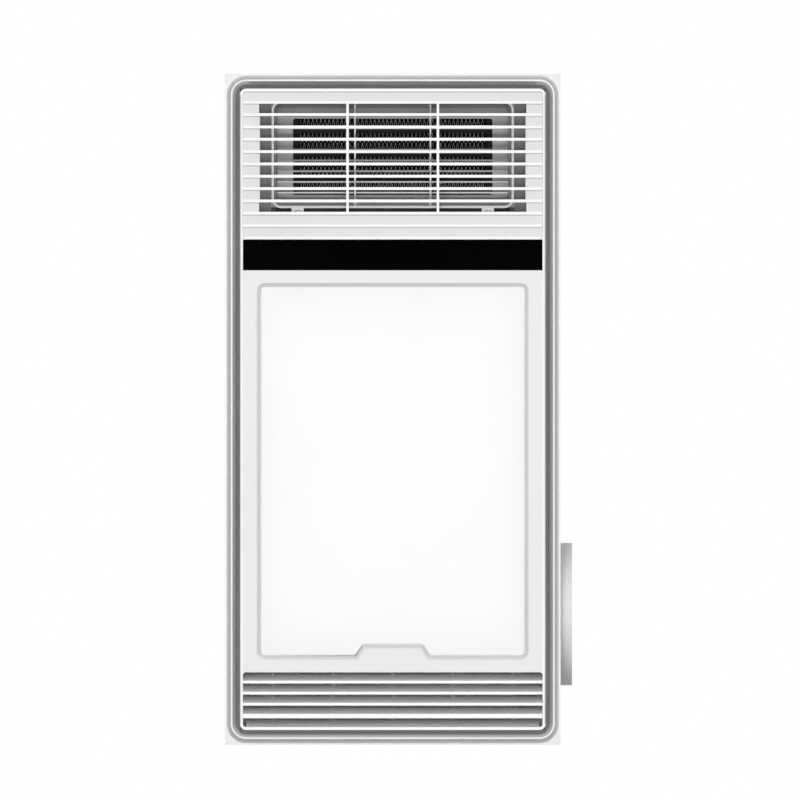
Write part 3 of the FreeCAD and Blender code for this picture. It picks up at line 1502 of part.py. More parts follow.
def make_wheel(name, x, y, hand):
    low = dim.blower_base + dim.impeller_lift
    high = low + impeller_height
    body = turned_body(f"{name}_impeller", x, y)
    disc = sketch_on(body, "XY_Plane", high - dim.impeller_disc)
    add_circle(disc, 0, 0, impeller_radius)
    pad(body, disc, dim.impeller_disc)
    hub = sketch_on(body, "XY_Plane", high - dim.hub_height)
    add_circle(hub, 0, 0, dim.hub_radius)
    pad(body, hub, dim.hub_height)
    blade = sketch_on(body, "XY_Plane", low)
    blade_outline(blade, hand)
    blades = pad(body, blade, impeller_height - dim.impeller_disc / 2)
    pattern = body.newObject("PartDesign::PolarPattern", "blades")
    pattern.Originals = [blades]
    pattern.Axis = (origin_feature(body, "Z_Axis"), [""])
    pattern.Angle = 360
    pattern.Occurrences = whole(dim.fan_blade_count)
    body.Tip = pattern
    doc.recompute()
    ring = sketch_on(body, "XY_Plane", low)
    add_circle(ring, 0, 0, impeller_radius)
    add_circle(ring, 0, 0, impeller_radius - dim.impeller_ring_width)
    pad(body, ring, dim.impeller_ring)
    bore = sketch_on(body, "XY_Plane", high)
    add_circle(bore, 0, 0, dim.shaft_radius + dim.press_gap)
    pocket(body, bore, dim.hub_height)
    keep(f"{name}_impeller", body)
    foot = high - dim.hub_height
    top = dim.blower_base + dim.blower_height + dim.shaft_grip
    keep(f"{name}_shaft", rod(f"{name}_shaft", "Z", (x, y, foot), dim.shaft_radius, top - foot))


def blade_outline(sketch, hand):
    """A forward-curved blade on the +X side: two arcs about one centre, cut square at both ends."""
    inner = impeller_inner
    outer = impeller_radius - dim.fan_blade_tip - dim.fan_blade_thickness / 2
    centre_x = impeller_inner + dim.fan_blade_set
    centre_y = hand * dim.fan_blade_curve
    half = dim.fan_blade_thickness / 2
    corners = []
    for index, radius in enumerate((dim.fan_blade_curve + half, dim.fan_blade_curve - half)):
        spots = []
        for x in (inner, outer):
            side = (x - centre_x).value
            spots.append((x.value, centre_y.value - hand * math.sqrt(radius.value**2 - side**2)))
        corners.append(spots)
        angles = [math.atan2(sy - centre_y.value, sx - centre_x.value) for sx, sy in spots]
        start, end = angles if hand > 0 else angles[::-1]
        centre = FreeCAD.Vector(centre_x.value, centre_y.value, 0)
        circle = Part.Circle(centre, FreeCAD.Vector(0, 0, 1), radius.value)
        sketch.addGeometry(Part.ArcOfCircle(circle, start, end), False)
        pin_point(sketch, index, 3, centre_x, centre_y)
        dimension(sketch, "Radius", radius, index)
    first, last = (1, 2) if hand > 0 else (2, 1)
    for arc in (0, 1):
        dimension(sketch, "DistanceX", inner, -1, 1, arc, first)
        dimension(sketch, "DistanceX", outer, -1, 1, arc, last)
    for edge, end in ((0, first), (1, last)):
        spots = [FreeCAD.Vector(*corners[arc][edge], 0) for arc in (0, 1)]
        line = sketch.addGeometry(Part.LineSegment(*spots), False)
        sketch.addConstraint(Sketcher.Constraint("Coincident", line, 1, 0, end))
        sketch.addConstraint(Sketcher.Constraint("Coincident", line, 2, 1, end))
    return sketch


def make_motor(name, x, y):
    body = turned_body(f"{name}_motor", x, y)
    low = dim.blower_base + dim.blower_height
    top = low + dim.motor_height
    bore = dim.shaft_radius + dim.running_gap
    bore_top = low + dim.shaft_grip + dim.contact_gap
    profile = sketch_on(body, "XZ_Plane")
    add_polygon(
        profile,
        [
            (bore, low),
            (dim.motor_radius, low),
            (dim.motor_radius, top - dim.motor_shoulder),
            (dim.motor_neck, top - dim.motor_shoulder),
            (dim.motor_neck, top),
            (Size(0), top),
            (Size(0), bore_top),
            (bore, bore_top),
        ],
    )
    turn = body.newObject("PartDesign::Revolution", "turned")
    turn.Profile = profile
    turn.ReferenceAxis = (profile, ["V_Axis"])
    turn.Angle = 360
    doc.recompute()
    keep(f"{name}_motor", body)


def make_blower_screws():
    seat = dim.housing_top
    length = dim.housing_sheet + dim.pilot_length - dim.contact_gap
    screws = [screw("blower_screw", "Z", (x, y, seat), 1, length) for x, y in roof_screws()]
    keep("blower_screws", group("blower_screws", screws))


def make_capacitors():
    cases = []
    for step in (0, 1):
        y = dim.capacitor_y + step * dim.capacitor_spacing
        body = new_body("run_capacitor")
        outline = sketch_on(body, "XY_Plane", inside_top - dim.capacitor_height)
        x = span(capacitor_x, dim.capacitor_width)
        add_rounded(outline, x, span(y, dim.capacitor_length), dim.capacitor_corner)
        pad(body, outline, dim.capacitor_height)
        cases.append(body)
    keep("run_capacitors", group("run_capacitors", cases))


# Exhaust duct collar with the flap that falls shut behind the air
flap_x = housing_x + dim.duct_flange_sheet + dim.contact_gap
pivot_x = flap_x + dim.flap_knuckle_radius + dim.contact_gap / 4
pivot_z = dim.duct_z + dim.flap_radius + dim.flap_pivot_above


def collar_places():
    reach = both(dim.collar_ear_reach)
    return [(duct_y + y, dim.duct_z + z) for y in reach for z in reach]


def collar_holes(start, depth):
    radius = dim.screw_radius + dim.screw_gap
    return [rod("collar_hole", "X", (start, y, z), radius, depth) for y, z in collar_places()]


def make_duct():
    centre = (housing_x, duct_y, dim.duct_z)
    flange = dim.duct_flange_sheet
    tube = cut(
        "duct_tube",
        rod("tube_outer", "X", centre, dim.duct_radius, dim.duct_reach),
        [rod("tube_inner", "X", centre, dim.duct_radius - dim.duct_wall, dim.duct_reach)],
    )
    half_knuckle = dim.flap_knuckle_length / 2
    lug_start = half_knuckle + dim.contact_gap
    lug_x = (housing_x, pivot_x + dim.flap_lug_height / 2)
    lug_z = span(pivot_z, dim.flap_lug_height)
    pieces = [tube, rod("base_plate", "X", centre, dim.duct_flange_radius, flange)]
    pieces += [rod("ear", "X", (housing_x, y, z), dim.collar_ear_radius, flange) for y, z in collar_places()]
    for low in (duct_y + lug_start, duct_y - lug_start - dim.flap_lug_width):
        pieces.append(block("lug", lug_x, (low, low + dim.flap_lug_width), lug_z))
    pin_reach = lug_start + dim.flap_lug_width
    pin_start = (pivot_x, duct_y - pin_reach, pivot_z)
    tools = collar_holes(housing_x, flange) + [
        rod("throat", "X", centre, dim.duct_throat, flange),
        rod("lug_bore", "Y", pin_start, dim.flap_pin_radius + dim.press_gap, 2 * pin_reach),
    ]
    keep("duct_collar", cut("duct_collar", fuse("collar_with_lugs", pieces), tools))
    keep("flap_pin", rod("flap_pin", "Y", pin_start, dim.flap_pin_radius, 2 * pin_reach))

    knuckle_start = (pivot_x, duct_y - half_knuckle, pivot_z)
    knuckle_y = span(duct_y, dim.flap_knuckle_length)
    tongue_low = pivot_z - dim.flap_pivot_above - dim.flap_knuckle_radius * 2
    flap = fuse(
        "flap_with_knuckle",
        [
            rod("disc", "X", (flap_x, duct_y, dim.duct_z), dim.flap_radius, dim.flap_sheet),
            block("tongue", (flap_x, flap_x + dim.flap_sheet), knuckle_y, (tongue_low, pivot_z)),
            rod("knuckle", "Y", knuckle_start, dim.flap_knuckle_radius, dim.flap_knuckle_length),
        ],
    )
    bore_radius = dim.flap_pin_radius + dim.running_gap
    bore = rod("knuckle_bore", "Y", knuckle_start, bore_radius, dim.flap_knuckle_length)
    keep("backdraft_flap", cut("backdraft_flap", flap, [bore]))
    seat = housing_x + flange
    length = dim.collar_screw_length
    screws = [screw("collar_screw", "X", (seat, y, z), 1, length) for y, z in collar_places()]
    keep("collar_screws", group("collar_screws", screws))


# Wiring box on the other long side, with its lid, terminal block and cable gland
def make_wiring():
    y = span(dim.wiring_y, dim.wiring_length)
    z = span(dim.wiring_z, dim.wiring_height)
    front = -housing_x - dim.wiring_depth
    wall = dim.wiring_wall
    body = new_body("wiring_case")
    outline = sketch_on(body, "YZ_Plane", front)
    add_rounded(outline, y, z, dim.wiring_corner)
    pad(body, outline, dim.wiring_depth)
    hollow = sketch_on(body, "YZ_Plane", front)
    add_rounded(hollow, grown(y, -wall), grown(z, -wall), dim.wiring_corner - wall)
    pocket(body, hollow, dim.wiring_depth - wall, back=True)

    inset = dim.lid_screw_inset
    spots = [(sy, sz) for sy in grown(y, -inset) for sz in grown(z, -inset)]
    bosses = [rod("lid_post", "X", (front, sy, sz), dim.lid_boss, dim.wiring_depth) for sy, sz in spots]
    drill = dim.screw_radius + dim.screw_gap
    tools = [rod("lid_pilot", "X", (front, sy, sz), drill, dim.lid_screw_length) for sy, sz in spots]
    wire_way = (-housing_x - wall, dim.wiring_y, dim.wiring_z)
    tools.append(rod("wire_way", "X", wire_way, dim.gland_radius, wall))
    gland_x = -housing_x - dim.wiring_depth / 2
    gland_start = (gland_x, y[1] - wall, dim.wiring_z)
    tools.append(rod("gland_hole", "Y", gland_start, dim.gland_radius + dim.press_gap, wall))
    keep("wiring_box", cut("wiring_box", fuse("wiring_case_posts", [body] + bosses), tools))

    lid = new_body("lid_plate")
    lid_outline = sketch_on(lid, "YZ_Plane", front - dim.lid_thickness)
    add_rounded(lid_outline, y, z, dim.wiring_corner)
    pad(lid, lid_outline, dim.lid_thickness)
    lid_front = front - dim.lid_thickness
    holes = [rod("lid_hole", "X", (lid_front, sy, sz), drill, dim.lid_thickness) for sy, sz in spots]
    keep("wiring_lid", cut("wiring_lid", lid, holes))
    length = dim.lid_thickness + dim.lid_screw_length - dim.contact_gap
    screws = [screw("lid_screw", "X", (lid_front, sy, sz), -1, length) for sy, sz in spots]
    keep("lid_screws", group("lid_screws", screws))

    count = whole(dim.terminal_count)
    block_back = -housing_x - wall
    block_front = block_back - dim.terminal_block_height
    block_start = y[0] + wall + inset + dim.lid_boss
    block_y = (block_start, block_start + dim.terminal_spacing * count)
    block_low = dim.wiring_z + dim.gland_radius + wall
    block_z = (block_low, block_low + dim.terminal_block_width)
    strip = block("terminal_body", (block_front, block_back), block_y, block_z)
    middle_z = block_low + dim.terminal_block_width / 2
    heads = []
    for step in range(count):
        spot = (block_front, block_start + (step + 0.5) * dim.terminal_spacing, middle_z)
        heads.append(rod("terminal_screw", "X", spot, dim.terminal_screw_radius, dim.terminal_screw_depth))
    keep("terminal_block", cut("terminal_block", strip, heads))

    nut = doc.addObject("Part::Prism", "gland_nut")
    nut.Polygon = 6
    bind(nut, "Circumradius", dim.gland_nut_radius)
    bind(nut, "Height", dim.gland_flange)
    nut.Placement = FreeCAD.Placement(FreeCAD.Vector(), AXIS_TURN["Y"])
    place(nut, gland_x, y[1], dim.wiring_z)
    sleeve = rod("gland_sleeve", "Y", gland_start, dim.gland_radius, wall + dim.gland_length)
    bore = rod("gland_bore", "Y", gland_start, dim.gland_bore, wall + dim.gland_length)
    keep("cable_gland", cut("cable_gland", fuse("gland_outer", [nut, sleeve]), [bore]))


make_panel_frame()
make_face_panel()
make_outlet_grille()
make_trim_strip()
make_intake_grille()
make_light_cover()
make_led_tray()
make_lamps()
make_housing_flange()
make_housing()
make_hangers()
make_nozzle()
make_louvers()
make_heating_block()
make_hood()
for blower_name, layout in BLOWERS.items():
    make_blower(blower_name, *layout)
make_blower_screws()
make_capacitors()
make_duct()
make_wiring()
doc.recompute()

failed = [f"{thing.Label}: {thing.State}" for thing in doc.Objects if {"Invalid", "Error"} & set(thing.State)]
if failed:
    raise RuntimeError("; ".join(failed))
os.makedirs("parts", exist_ok=True)
for node, thing in parts.items():
    if thing.Shape.isNull() or not thing.Shape.isValid() or thing.Shape.Volume <= 0:
        raise RuntimeError(f"{node}: the shape is not a valid solid")
    thing.Shape.exportStep(f"parts/{node}.step")
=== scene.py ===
"""Looks of a bathroom ceiling heater: finishes, small fittings and the stage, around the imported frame."""

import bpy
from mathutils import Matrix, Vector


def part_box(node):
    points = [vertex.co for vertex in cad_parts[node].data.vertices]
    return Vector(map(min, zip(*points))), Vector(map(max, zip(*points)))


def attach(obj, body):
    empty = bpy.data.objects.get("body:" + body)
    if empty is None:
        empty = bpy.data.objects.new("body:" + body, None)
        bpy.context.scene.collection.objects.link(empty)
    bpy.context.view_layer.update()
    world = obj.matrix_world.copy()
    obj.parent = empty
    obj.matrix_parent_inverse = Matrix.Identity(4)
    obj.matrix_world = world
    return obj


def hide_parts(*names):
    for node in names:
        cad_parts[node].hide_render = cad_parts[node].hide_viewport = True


bl_info = {
    "name": "Bathroom ceiling heater",
    "version": (1, 0, 0),
    "blender": (4, 5, 0),
    "location": "3D View > Sidebar > Heater",
    "description": "Finishes, small fittings and stage of a bathroom ceiling heater",
    "category": "Object",
}

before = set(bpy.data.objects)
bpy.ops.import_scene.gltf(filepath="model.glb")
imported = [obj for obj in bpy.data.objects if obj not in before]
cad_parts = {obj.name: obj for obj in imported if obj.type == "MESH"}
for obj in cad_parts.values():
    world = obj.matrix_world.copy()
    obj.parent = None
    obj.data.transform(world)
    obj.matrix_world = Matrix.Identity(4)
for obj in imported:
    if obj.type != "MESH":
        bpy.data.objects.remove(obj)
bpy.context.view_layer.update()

import contextlib
import functools
import math

import bmesh
import bpy
from mathutils import Matrix, Quaternion, Vector

ROOT = "heater_unit"
WHITE = (1.0, 1.0, 1.0)
DARK = (0.0, 0.0, 0.0)

# Modelling: points nearer than this are one, in a new piece and in a CAD mesh, edges sharper than this stay
# sharp, and small bars are rounded by this
MERGE_DISTANCE = 0.000002
CAD_MERGE_DISTANCE = 0.000001
SHARP_ANGLE = math.radians(35.0)
SMALL_ROUNDING = 0.0003

# Fittings: how far each screw and rivet is turned on from the one before
SCREW_TWIST = 0.7
RIVET_TWIST = 0.4

# Housing: laps stand back from the corners and ends, welds are rings of a radius and a height, and beads and
# knock-outs sit at a place along a long wall and a level
LAP_INSET = 0.0010
LAP_SHORT = 0.002
WELD_RINGS = ((0.0026, -0.0002), (0.0026, 0.0001), (0.0023, 0.0003), (0.0017, 0.00025), (0.0014, 0.00008))
BEAD_HALF_WIDTH = 0.0032
BEAD_RISE = 0.0012
BEAD_ROUNDING = 0.00115
PLAIN_WALL_BEADS = ((-0.140, 0.036), (0.140, 0.036))
DUCT_WALL_BEADS = ((-0.130, 0.036), (-0.130, 0.122))
KNOCKOUTS = ((-0.150, 0.100), (-0.115, 0.100))

# Light: cut sides of the cover lip have more corners than any other face, and the plugs are open boxes
CUT_SIDE_CORNERS = 8
PLUG_HALF_WIDTH = 0.0030
PLUG_HEIGHT = 0.0040
PLUG_SUNK = 0.0001
PLUG_WALL = 0.0008
PLUG_DEPTH = 0.0022

# Moulded plastic: noise scales of its flow clouds and its grain, the depth and strength of that grain, and how
# far the clouds move its roughness
CLOUD_SCALE = 7.0
GRAIN_SCALE = 1400.0
GRAIN_DEPTH = 0.00003
GRAIN_STRENGTH = 0.6
CLOUD_ROUGHNESS = 0.16
NOZZLE_CLOUD_SCALE = 12.0
NOZZLE_CLOUD_ROUGHNESS = 0.2

# From here to the stage, a pair is the two ends of a blend from nothing to full, in metres

# Grilles: how level a face that looks straight down is, edge of the first rib, spacing of the ribs, distances
# past the edge of a rib for the painted shadow lines, and levels for the painted highlight and shade
STRAIGHT_DOWN = -0.97
RIB_EDGE = -0.27315
RIB_SPACING = 0.01102
RIB_FOOT = (0.0013, 0.0008)
RIB_BACK = (RIB_SPACING - 0.0012, RIB_SPACING - 0.0002)
RIB_LEVEL = (-0.0088, -0.0092)
PLATE_LEVEL = (-0.0080, -0.0065)
SLAT_LEVEL = (-0.0040, 0.0030)
TIE_LEVEL = (0.0015, 0.0022)

# Inner moulding, for its painted highlight and shade: gap round the grilles, distance from the middle,
# distance from a long side, and level
RIM_GAP = 0.0001
RIM_END = (0.2800, 0.2830)
RIM_EDGE_SHADE = (0.0014, 0.0004)
RECESS_LEVEL = (-0.0098, -0.0094)

# Outer moulding, for its painted highlight, shade and shadow: distances from its edge, distances at its
# warm-air end, and heights over its lowest point
BEAD_INSET = 0.0069
FLOOR_INSET = 0.0135
END_GROOVE = (0.0160, 0.0120)
END_GROOVE_REACH = (0.132, 0.124)
BEAD_CREST = (0.0009, 0.0003)
GROOVE_DEPTH = (0.0010, 0.0125)
GROOVE_FLOOR = (0.0120, 0.0128)
SLOPE_FALL = (0.0065, 0.0010)

# Nozzle, for its painted light, shade and shadow: distances from the middle, levels, and places along the part
COMB_PLACE = 0.0335
COMB_HALF = 0.0012
WING_SIDE = (0.1084, 0.1092)
LIP_LEVEL = (0.0026, 0.0019)
UNDER_SHADOW_LEVEL = (0.0040, 0.0050)
BACK_LEVEL = (0.0285, 0.0295)
TOP_SHADOW_PLACE = (-0.2688, -0.2697)
OVER_SHADOW_PLACE = (-0.2596, -0.2602)
BACK_FOOT = (-0.1912, -0.1902)
UNDER_SHADOW_PLACE = (-0.1812, -0.1800)

# Stage: face lamps by place across, place along and share of the power, then the upper lamps and the floor
FACE_LAMPS = ((0.0, -1.5, 1.5), (0.0, 0.3, 0.9), (-0.45, 0.0, 0.8), (0.45, 0.0, 0.8))
FACE_LAMP_LEVEL = -2.9
FACE_LAMP_SIZE = 0.8
UPPER_LAMP = (1.8, -1.5, 2.4)
UPPER_LAMP_SIZE = 1.6
FLOOR_SIZE = 60.0
FLOOR_GLOW = 0.7


# Sizes and colours that a user would change
def colour(label, about, value):
    return bpy.props.FloatVectorProperty(
        name=label, description=about, default=value, size=3, min=0.0, max=1.0, subtype="COLOR"
    )


def share(label, about, value):
    return bpy.props.FloatProperty(
        name=label, description=about, default=value, min=0.0, max=1.0, subtype="FACTOR"
    )


def length(label, about, value):
    return bpy.props.FloatProperty(name=label, description=about, default=value, unit="LENGTH", precision=4)


def power(label, about, value):
    return bpy.props.FloatProperty(name=label, description=about, default=value, min=0.0, unit="POWER")


def count(label, about, value, least):
    return bpy.props.IntProperty(name=label, description=about, default=value, min=least)


class HeaterColours(bpy.types.PropertyGroup):
    white: colour("White", "Satin white of the face mouldings", (0.83, 0.83, 0.825))
    # The rib white is lighter than the white: a painted highlight on the ribs of the grilles and the rim of
    # the panel
    rib: colour("Rib white", "Polished ribs of the grilles and rim of the panel", (0.905, 0.905, 0.90))
    black: colour("Black", "Gloss black of the strip", (0.0004, 0.0004, 0.00045))
    opal: colour("Opal", "Light cover", (0.88, 0.88, 0.875))
    grey: colour("Grey", "Air nozzle", (0.30, 0.30, 0.305))
    # The wing grey is darker than the nozzle grey: painted shade on the side wings; it is also the colour of
    # the gland seal
    wing: colour("Wing grey", "Side wings of the nozzle", (0.14, 0.14, 0.142))
    blade: colour("Blade grey", "Swing blades and their link", (0.62, 0.62, 0.62))
    # The lip grey is lighter than the nozzle grey: painted light on the lip, comb and back plate of the nozzle
    lip: colour("Lip grey", "Lip of the nozzle", (0.80, 0.80, 0.80))
    collar: colour("Collar grey", "Duct collar and wiring box", (0.80, 0.80, 0.805))
    soot_and_shade: colour("Soot", "Black mouldings of the heating block and wheels", (0.016, 0.016, 0.017))
    zinc: colour("Zinc", "Zinc-coated sheet steel", (0.50, 0.51, 0.52))
    steel: colour("Steel", "Plated screws, pins and motors", (0.66, 0.66, 0.67))
    aluminium: colour("Aluminium", "Folded fins", (0.90, 0.90, 0.90))
    brass: colour("Brass", "Contact tabs", (0.78, 0.60, 0.32))
    board: colour("Board", "Lamp boards", (0.86, 0.86, 0.84))
    phosphor: colour("Phosphor", "Faces of the lamp chips", (0.86, 0.66, 0.12))
    glow: share("Glow", "How much light the opal cover gives", 0.09)
    lamp_glow: bpy.props.FloatProperty(
        name="Lamp glow", description="How much light each lamp chip gives", default=4.0
    )


class HeaterFittings(bpy.types.PropertyGroup):
    head_radius: length("Screw head radius", "Pan head of every screw that shows", 0.0030)
    head_height: length("Screw head height", "Pan head of every screw that shows", 0.0018)
    shank_radius: length("Screw radius", "Core of every screw that shows", 0.0015)
    rivet_radius: length("Rivet head radius", "Domed head of the blind rivets", 0.0032)
    rivet_height: length("Rivet head height", "Domed head of the blind rivets", 0.0012)
    lap_width: length("Lap width", "Corner laps of the housing", 0.0100)
    lap_sheet: length("Lap thickness", "Corner laps of the housing", 0.0008)
    weld_count: count("Spot welds", "Spot welds on each corner lap", 5, 2)
    bead_length: length("Bead length", "Pressed beads on the long walls", 0.2100)
    knockout_radius: length("Knock-out radius", "Round knock-outs for a conduit", 0.0112)
    gland_ribs: count("Gland ribs", "Grip ribs of the gland nut", 14, 6)
    lip_reach: length("Lip reach", "Light seal round the opal cover, beyond its edge", 0.00045)
    lip_level: length("Lip level", "Lower side of that seal", -0.0064)
    lip_width: length("Lip width", "How far that seal reaches into the edge of the cover", 0.0020)
    lip_sheet: length("Lip thickness", "Thickness of that seal", 0.0008)
    plug_length: length("Plug length", "Wire plugs on the lamp boards", 0.0090)


class HeaterStage(bpy.types.PropertyGroup):
    view_width: length("View width", "Width that the camera sees, without perspective", 0.71496)
    camera: bpy.props.FloatVectorProperty(
        name="Camera", description="Place of the camera, under the face",
        default=(0.0065, -0.0083, -2.4), size=3, subtype="TRANSLATION", unit="LENGTH",
    )
    floor: length("Floor level", "Height of the floor under the ceiling", -3.2)
    key: power("Face lamps", "Each of the four lamps under the face, before its share", 17.4)
    top: power("Upper lamps", "Each of the two lamps over the housing", 19.0)
    ambient: share("Ambient", "Even light from all round", 0.20)


class Wire:
    """A socket that adds Math nodes when it is used in an expression."""

    def __init__(self, finish, socket):
        self.finish = finish
        self.socket = socket

    def sum(self, operation, first, second):
        return self.finish.node("Math", {"operation": operation}, {0: first, 1: second})

    def __add__(self, other):
        return self.sum("ADD", self, other)

    __radd__ = __add__

    def __sub__(self, other):
        return self.sum("SUBTRACT", self, other)

    def __rsub__(self, other):
        return self.sum("SUBTRACT", other, self)

    def __mul__(self, other):
        return self.sum("MULTIPLY", self, other)

    __rmul__ = __mul__

    def __truediv__(self, other):
        return self.sum("DIVIDE", self, other)

    def __rtruediv__(self, other):
        return self.sum("DIVIDE", other, self)

    def __pow__(self, other):
        return self.sum("POWER", self, other)

    def __rpow__(self, other):
        return self.sum("POWER", other, self)

    def __mod__(self, other):
        return self.sum("FLOORED_MODULO", self, other)

    def __rmod__(self, other):
        return self.sum("FLOORED_MODULO", other, self)

    def above(self, limit):
        return self.sum("GREATER_THAN", self, limit)

    def most(self, other):
        return self.sum("MAXIMUM", self, other)


class Finish:
    """One material or world and the nodes that make it."""

    def __init__(self, name, kind="materials"):
        self.owner = getattr(bpy.data, kind).new(name)
        self.owner.use_nodes = True
        self.tree = self.owner.node_tree
        self.tree.nodes.clear()

    def node(self, kind, settings=None, sockets=None, output=0):
        made = self.tree.nodes.new("ShaderNode" + kind)
        for name, value in (settings or {}).items():
            setattr(made, name, value)
        for name, value in (sockets or {}).items():
            if isinstance(value, Wire):
                self.tree.links.new(value.socket, made.inputs[name])
            else:
                made.inputs[name].default_value = value
        return Wire(self, made.outputs[output]) if made.outputs else None

    @functools.cached_property
    def place(self):
        return self.node("TexCoord", output="Object")

    def axes(self):
        first = self.node("SeparateXYZ", {}, {0: self.place})
        return [Wire(self, socket) for socket in first.socket.node.outputs]

    def stretched(self, stretch):
        return self.node("Mapping", {}, {"Vector": self.place, "Scale": stretch})

    def noise(self, scale, detail=2.0, place=None):
        sockets = {"Vector": place or self.place, "Scale": scale, "Detail": detail}
        return self.node("TexNoise", {}, sockets, "Fac")

    def moulding(self, scale=CLOUD_SCALE):
        """Flow clouds and the fine spark-eroded grain of moulded plastic."""
        return self.noise(scale, 3.0), self.noise(GRAIN_SCALE)

    def climb(self, value, low, high):
        """An even climb from nothing to one between two ends."""
        return self.node("MapRange", {}, {0: value, 1: low, 2: high})

    def ramp(self, value, low, high):
        """A soft climb from nothing to one between two ends."""
        return self.node("MapRange", {"interpolation_type": "SMOOTHSTEP"}, {0: value, 1: low, 2: high})

    def apart(self, value):
        """How far a value is from zero."""
        return self.node("Math", {"operation": "ABSOLUTE"}, {0: value})

    def inside(self, value, reach):
        """One where a value is nearer to zero than a reach, and else nothing."""
        return 1.0 - self.apart(value).above(reach)

    def facing_down(self, limit=-0.05):
        """One on faces that look down, at a limit of minus one only straight down."""
        normal = self.node("NewGeometry", output="True Normal")
        return 1.0 - self.node("SeparateXYZ", {}, {0: normal}, "Z").above(limit)

    def facing_out(self, limit=0.02):
        """One on slopes that look away from the middle of the part."""
        normal = self.node("NewGeometry", output="True Normal")
        away = self.node("VectorMath", {"operation": "DOT_PRODUCT"}, {0: normal, 1: self.place}, "Value")
        return away.above(limit)

    def mix(self, amount, first, second):
        return self.node("Mix", {"data_type": "RGBA"}, {0: amount, 6: solid(first), 7: solid(second)}, 2)

    def clouded(self, clouds, base, swing=0.03):
        """A colour that moves a little to either side of its own tone."""
        return self.mix(clouds, tinted(base, 1.0 - swing), tinted(base, 1.0 + swing))

    def bump(self, height, depth, strength):
        return self.node("Bump", {}, {"Height": height, "Distance": depth, "Strength": strength}, "Normal")

    def shade(self, **sockets):
        """Closes the material with one shader. An underscore stands for a space in the name of a socket."""
        named = {name.replace("_", " "): solid(value) for name, value in sockets.items()}
        return self.close(self.node("BsdfPrincipled", {}, named))

    def plastic(self, tone, rough, clouds, grain, gloss=0.4, swing=CLOUD_ROUGHNESS):
        """Closes the material as moulded plastic."""
        return self.shade(
            Base_Color=tone,
            Roughness=rough + (clouds - 0.5) * swing,
            Specular_IOR_Level=gloss,
            Normal=self.bump(grain, GRAIN_DEPTH, GRAIN_STRENGTH),
        )

    def close(self, surface, kind="Material"):
        self.node("Output" + kind, {}, {"Surface": surface})
        return self.owner


def solid(value):
    """A colour of three numbers with its fourth, and anything else as it is."""
    if isinstance(value, (Wire, float, int)):
        return value
    return (*value[:3], 1.0)


def tinted(base, amount):
    """A colour made lighter or darker."""
    return tuple(min(1.0, part * amount) for part in base)


# Finishes
def moulded(name, base, rough, gloss=0.4):
    """Satin moulded plastic."""
    finish = Finish(name)
    clouds, grain = finish.moulding()
    tone = finish.clouded(clouds, base)
    return finish.plastic(tone, rough + (grain - 0.5) * 0.06, clouds, grain, gloss)


def ribbed(name, base, crest, rough, foot=0.0):
    """Moulded plastic with polished ribs, painted lighter as a painted highlight, painted shade where it lies
    deep and on the downward faces of the ties, and painted shadow lines at the foot of each rib.
    """
    finish = Finish(name)
    clouds, grain = finish.moulding()
    _, y, level = finish.axes()
    rib = finish.ramp(level, *RIB_LEVEL)
    tie = finish.ramp(level, *TIE_LEVEL) * finish.facing_down(STRAIGHT_DOWN)
    # Painted shadow lines at the foot of each rib, and painted shade where the grille lies deep and on the
    # downward faces of the ties
    past = (y - RIB_EDGE) % RIB_SPACING
    rib_shadow = finish.ramp(past, *RIB_FOOT) + finish.ramp(past, *RIB_BACK) * 0.25
    deep = finish.ramp(level, *PLATE_LEVEL) + finish.climb(level, *SLAT_LEVEL)
    painted_shade = deep * 0.10 + tie * 0.35 + rib_shadow * foot
    plate = finish.mix(painted_shade, finish.clouded(clouds, base, 0.025), tinted(base, 0.05))
    # The ribs take the lighter crest colour: a painted highlight
    tone = finish.mix(rib, plate, crest)
    return finish.plastic(tone, rough - rib * 0.14, clouds, grain * (1.0 - rib))


def rimmed(name, base, edge, rough):
    """Moulded plastic with a polished rim painted lighter at both ends as a painted highlight, painted shade
    along its outer edge, and painted shade on what lies deeper than its face.
    """
    finish = Finish(name)
    low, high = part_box("outlet_grille")
    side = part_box("face_panel")[1].x
    clouds, grain = finish.moulding()
    x, y, level = finish.axes()
    rim = 1.0 - finish.inside(x, high.x + RIM_GAP) * finish.inside(y, RIM_GAP - low.y)
    # The rim is lighter at both ends: a painted highlight
    end = finish.ramp(finish.apart(y), *RIM_END)
    # Painted shade along the outer edge of the panel
    edge_shade = finish.ramp(side - finish.apart(x), *RIM_EDGE_SHADE) * 0.50
    # Painted shade on everything that lies deeper than the front face, such as the bevel round the light
    # opening
    deep = finish.ramp(level, *RECESS_LEVEL) * (1.0 - rim)
    plain = finish.mix(deep, finish.clouded(clouds, base), tinted(base, 0.93))
    edge_shaded = finish.mix(edge_shade, plain, tinted(base, 0.05))
    tone = finish.mix(rim * end, edge_shaded, edge)
    return finish.plastic(tone, rough - rim * 0.12, clouds, grain * (1.0 - rim))


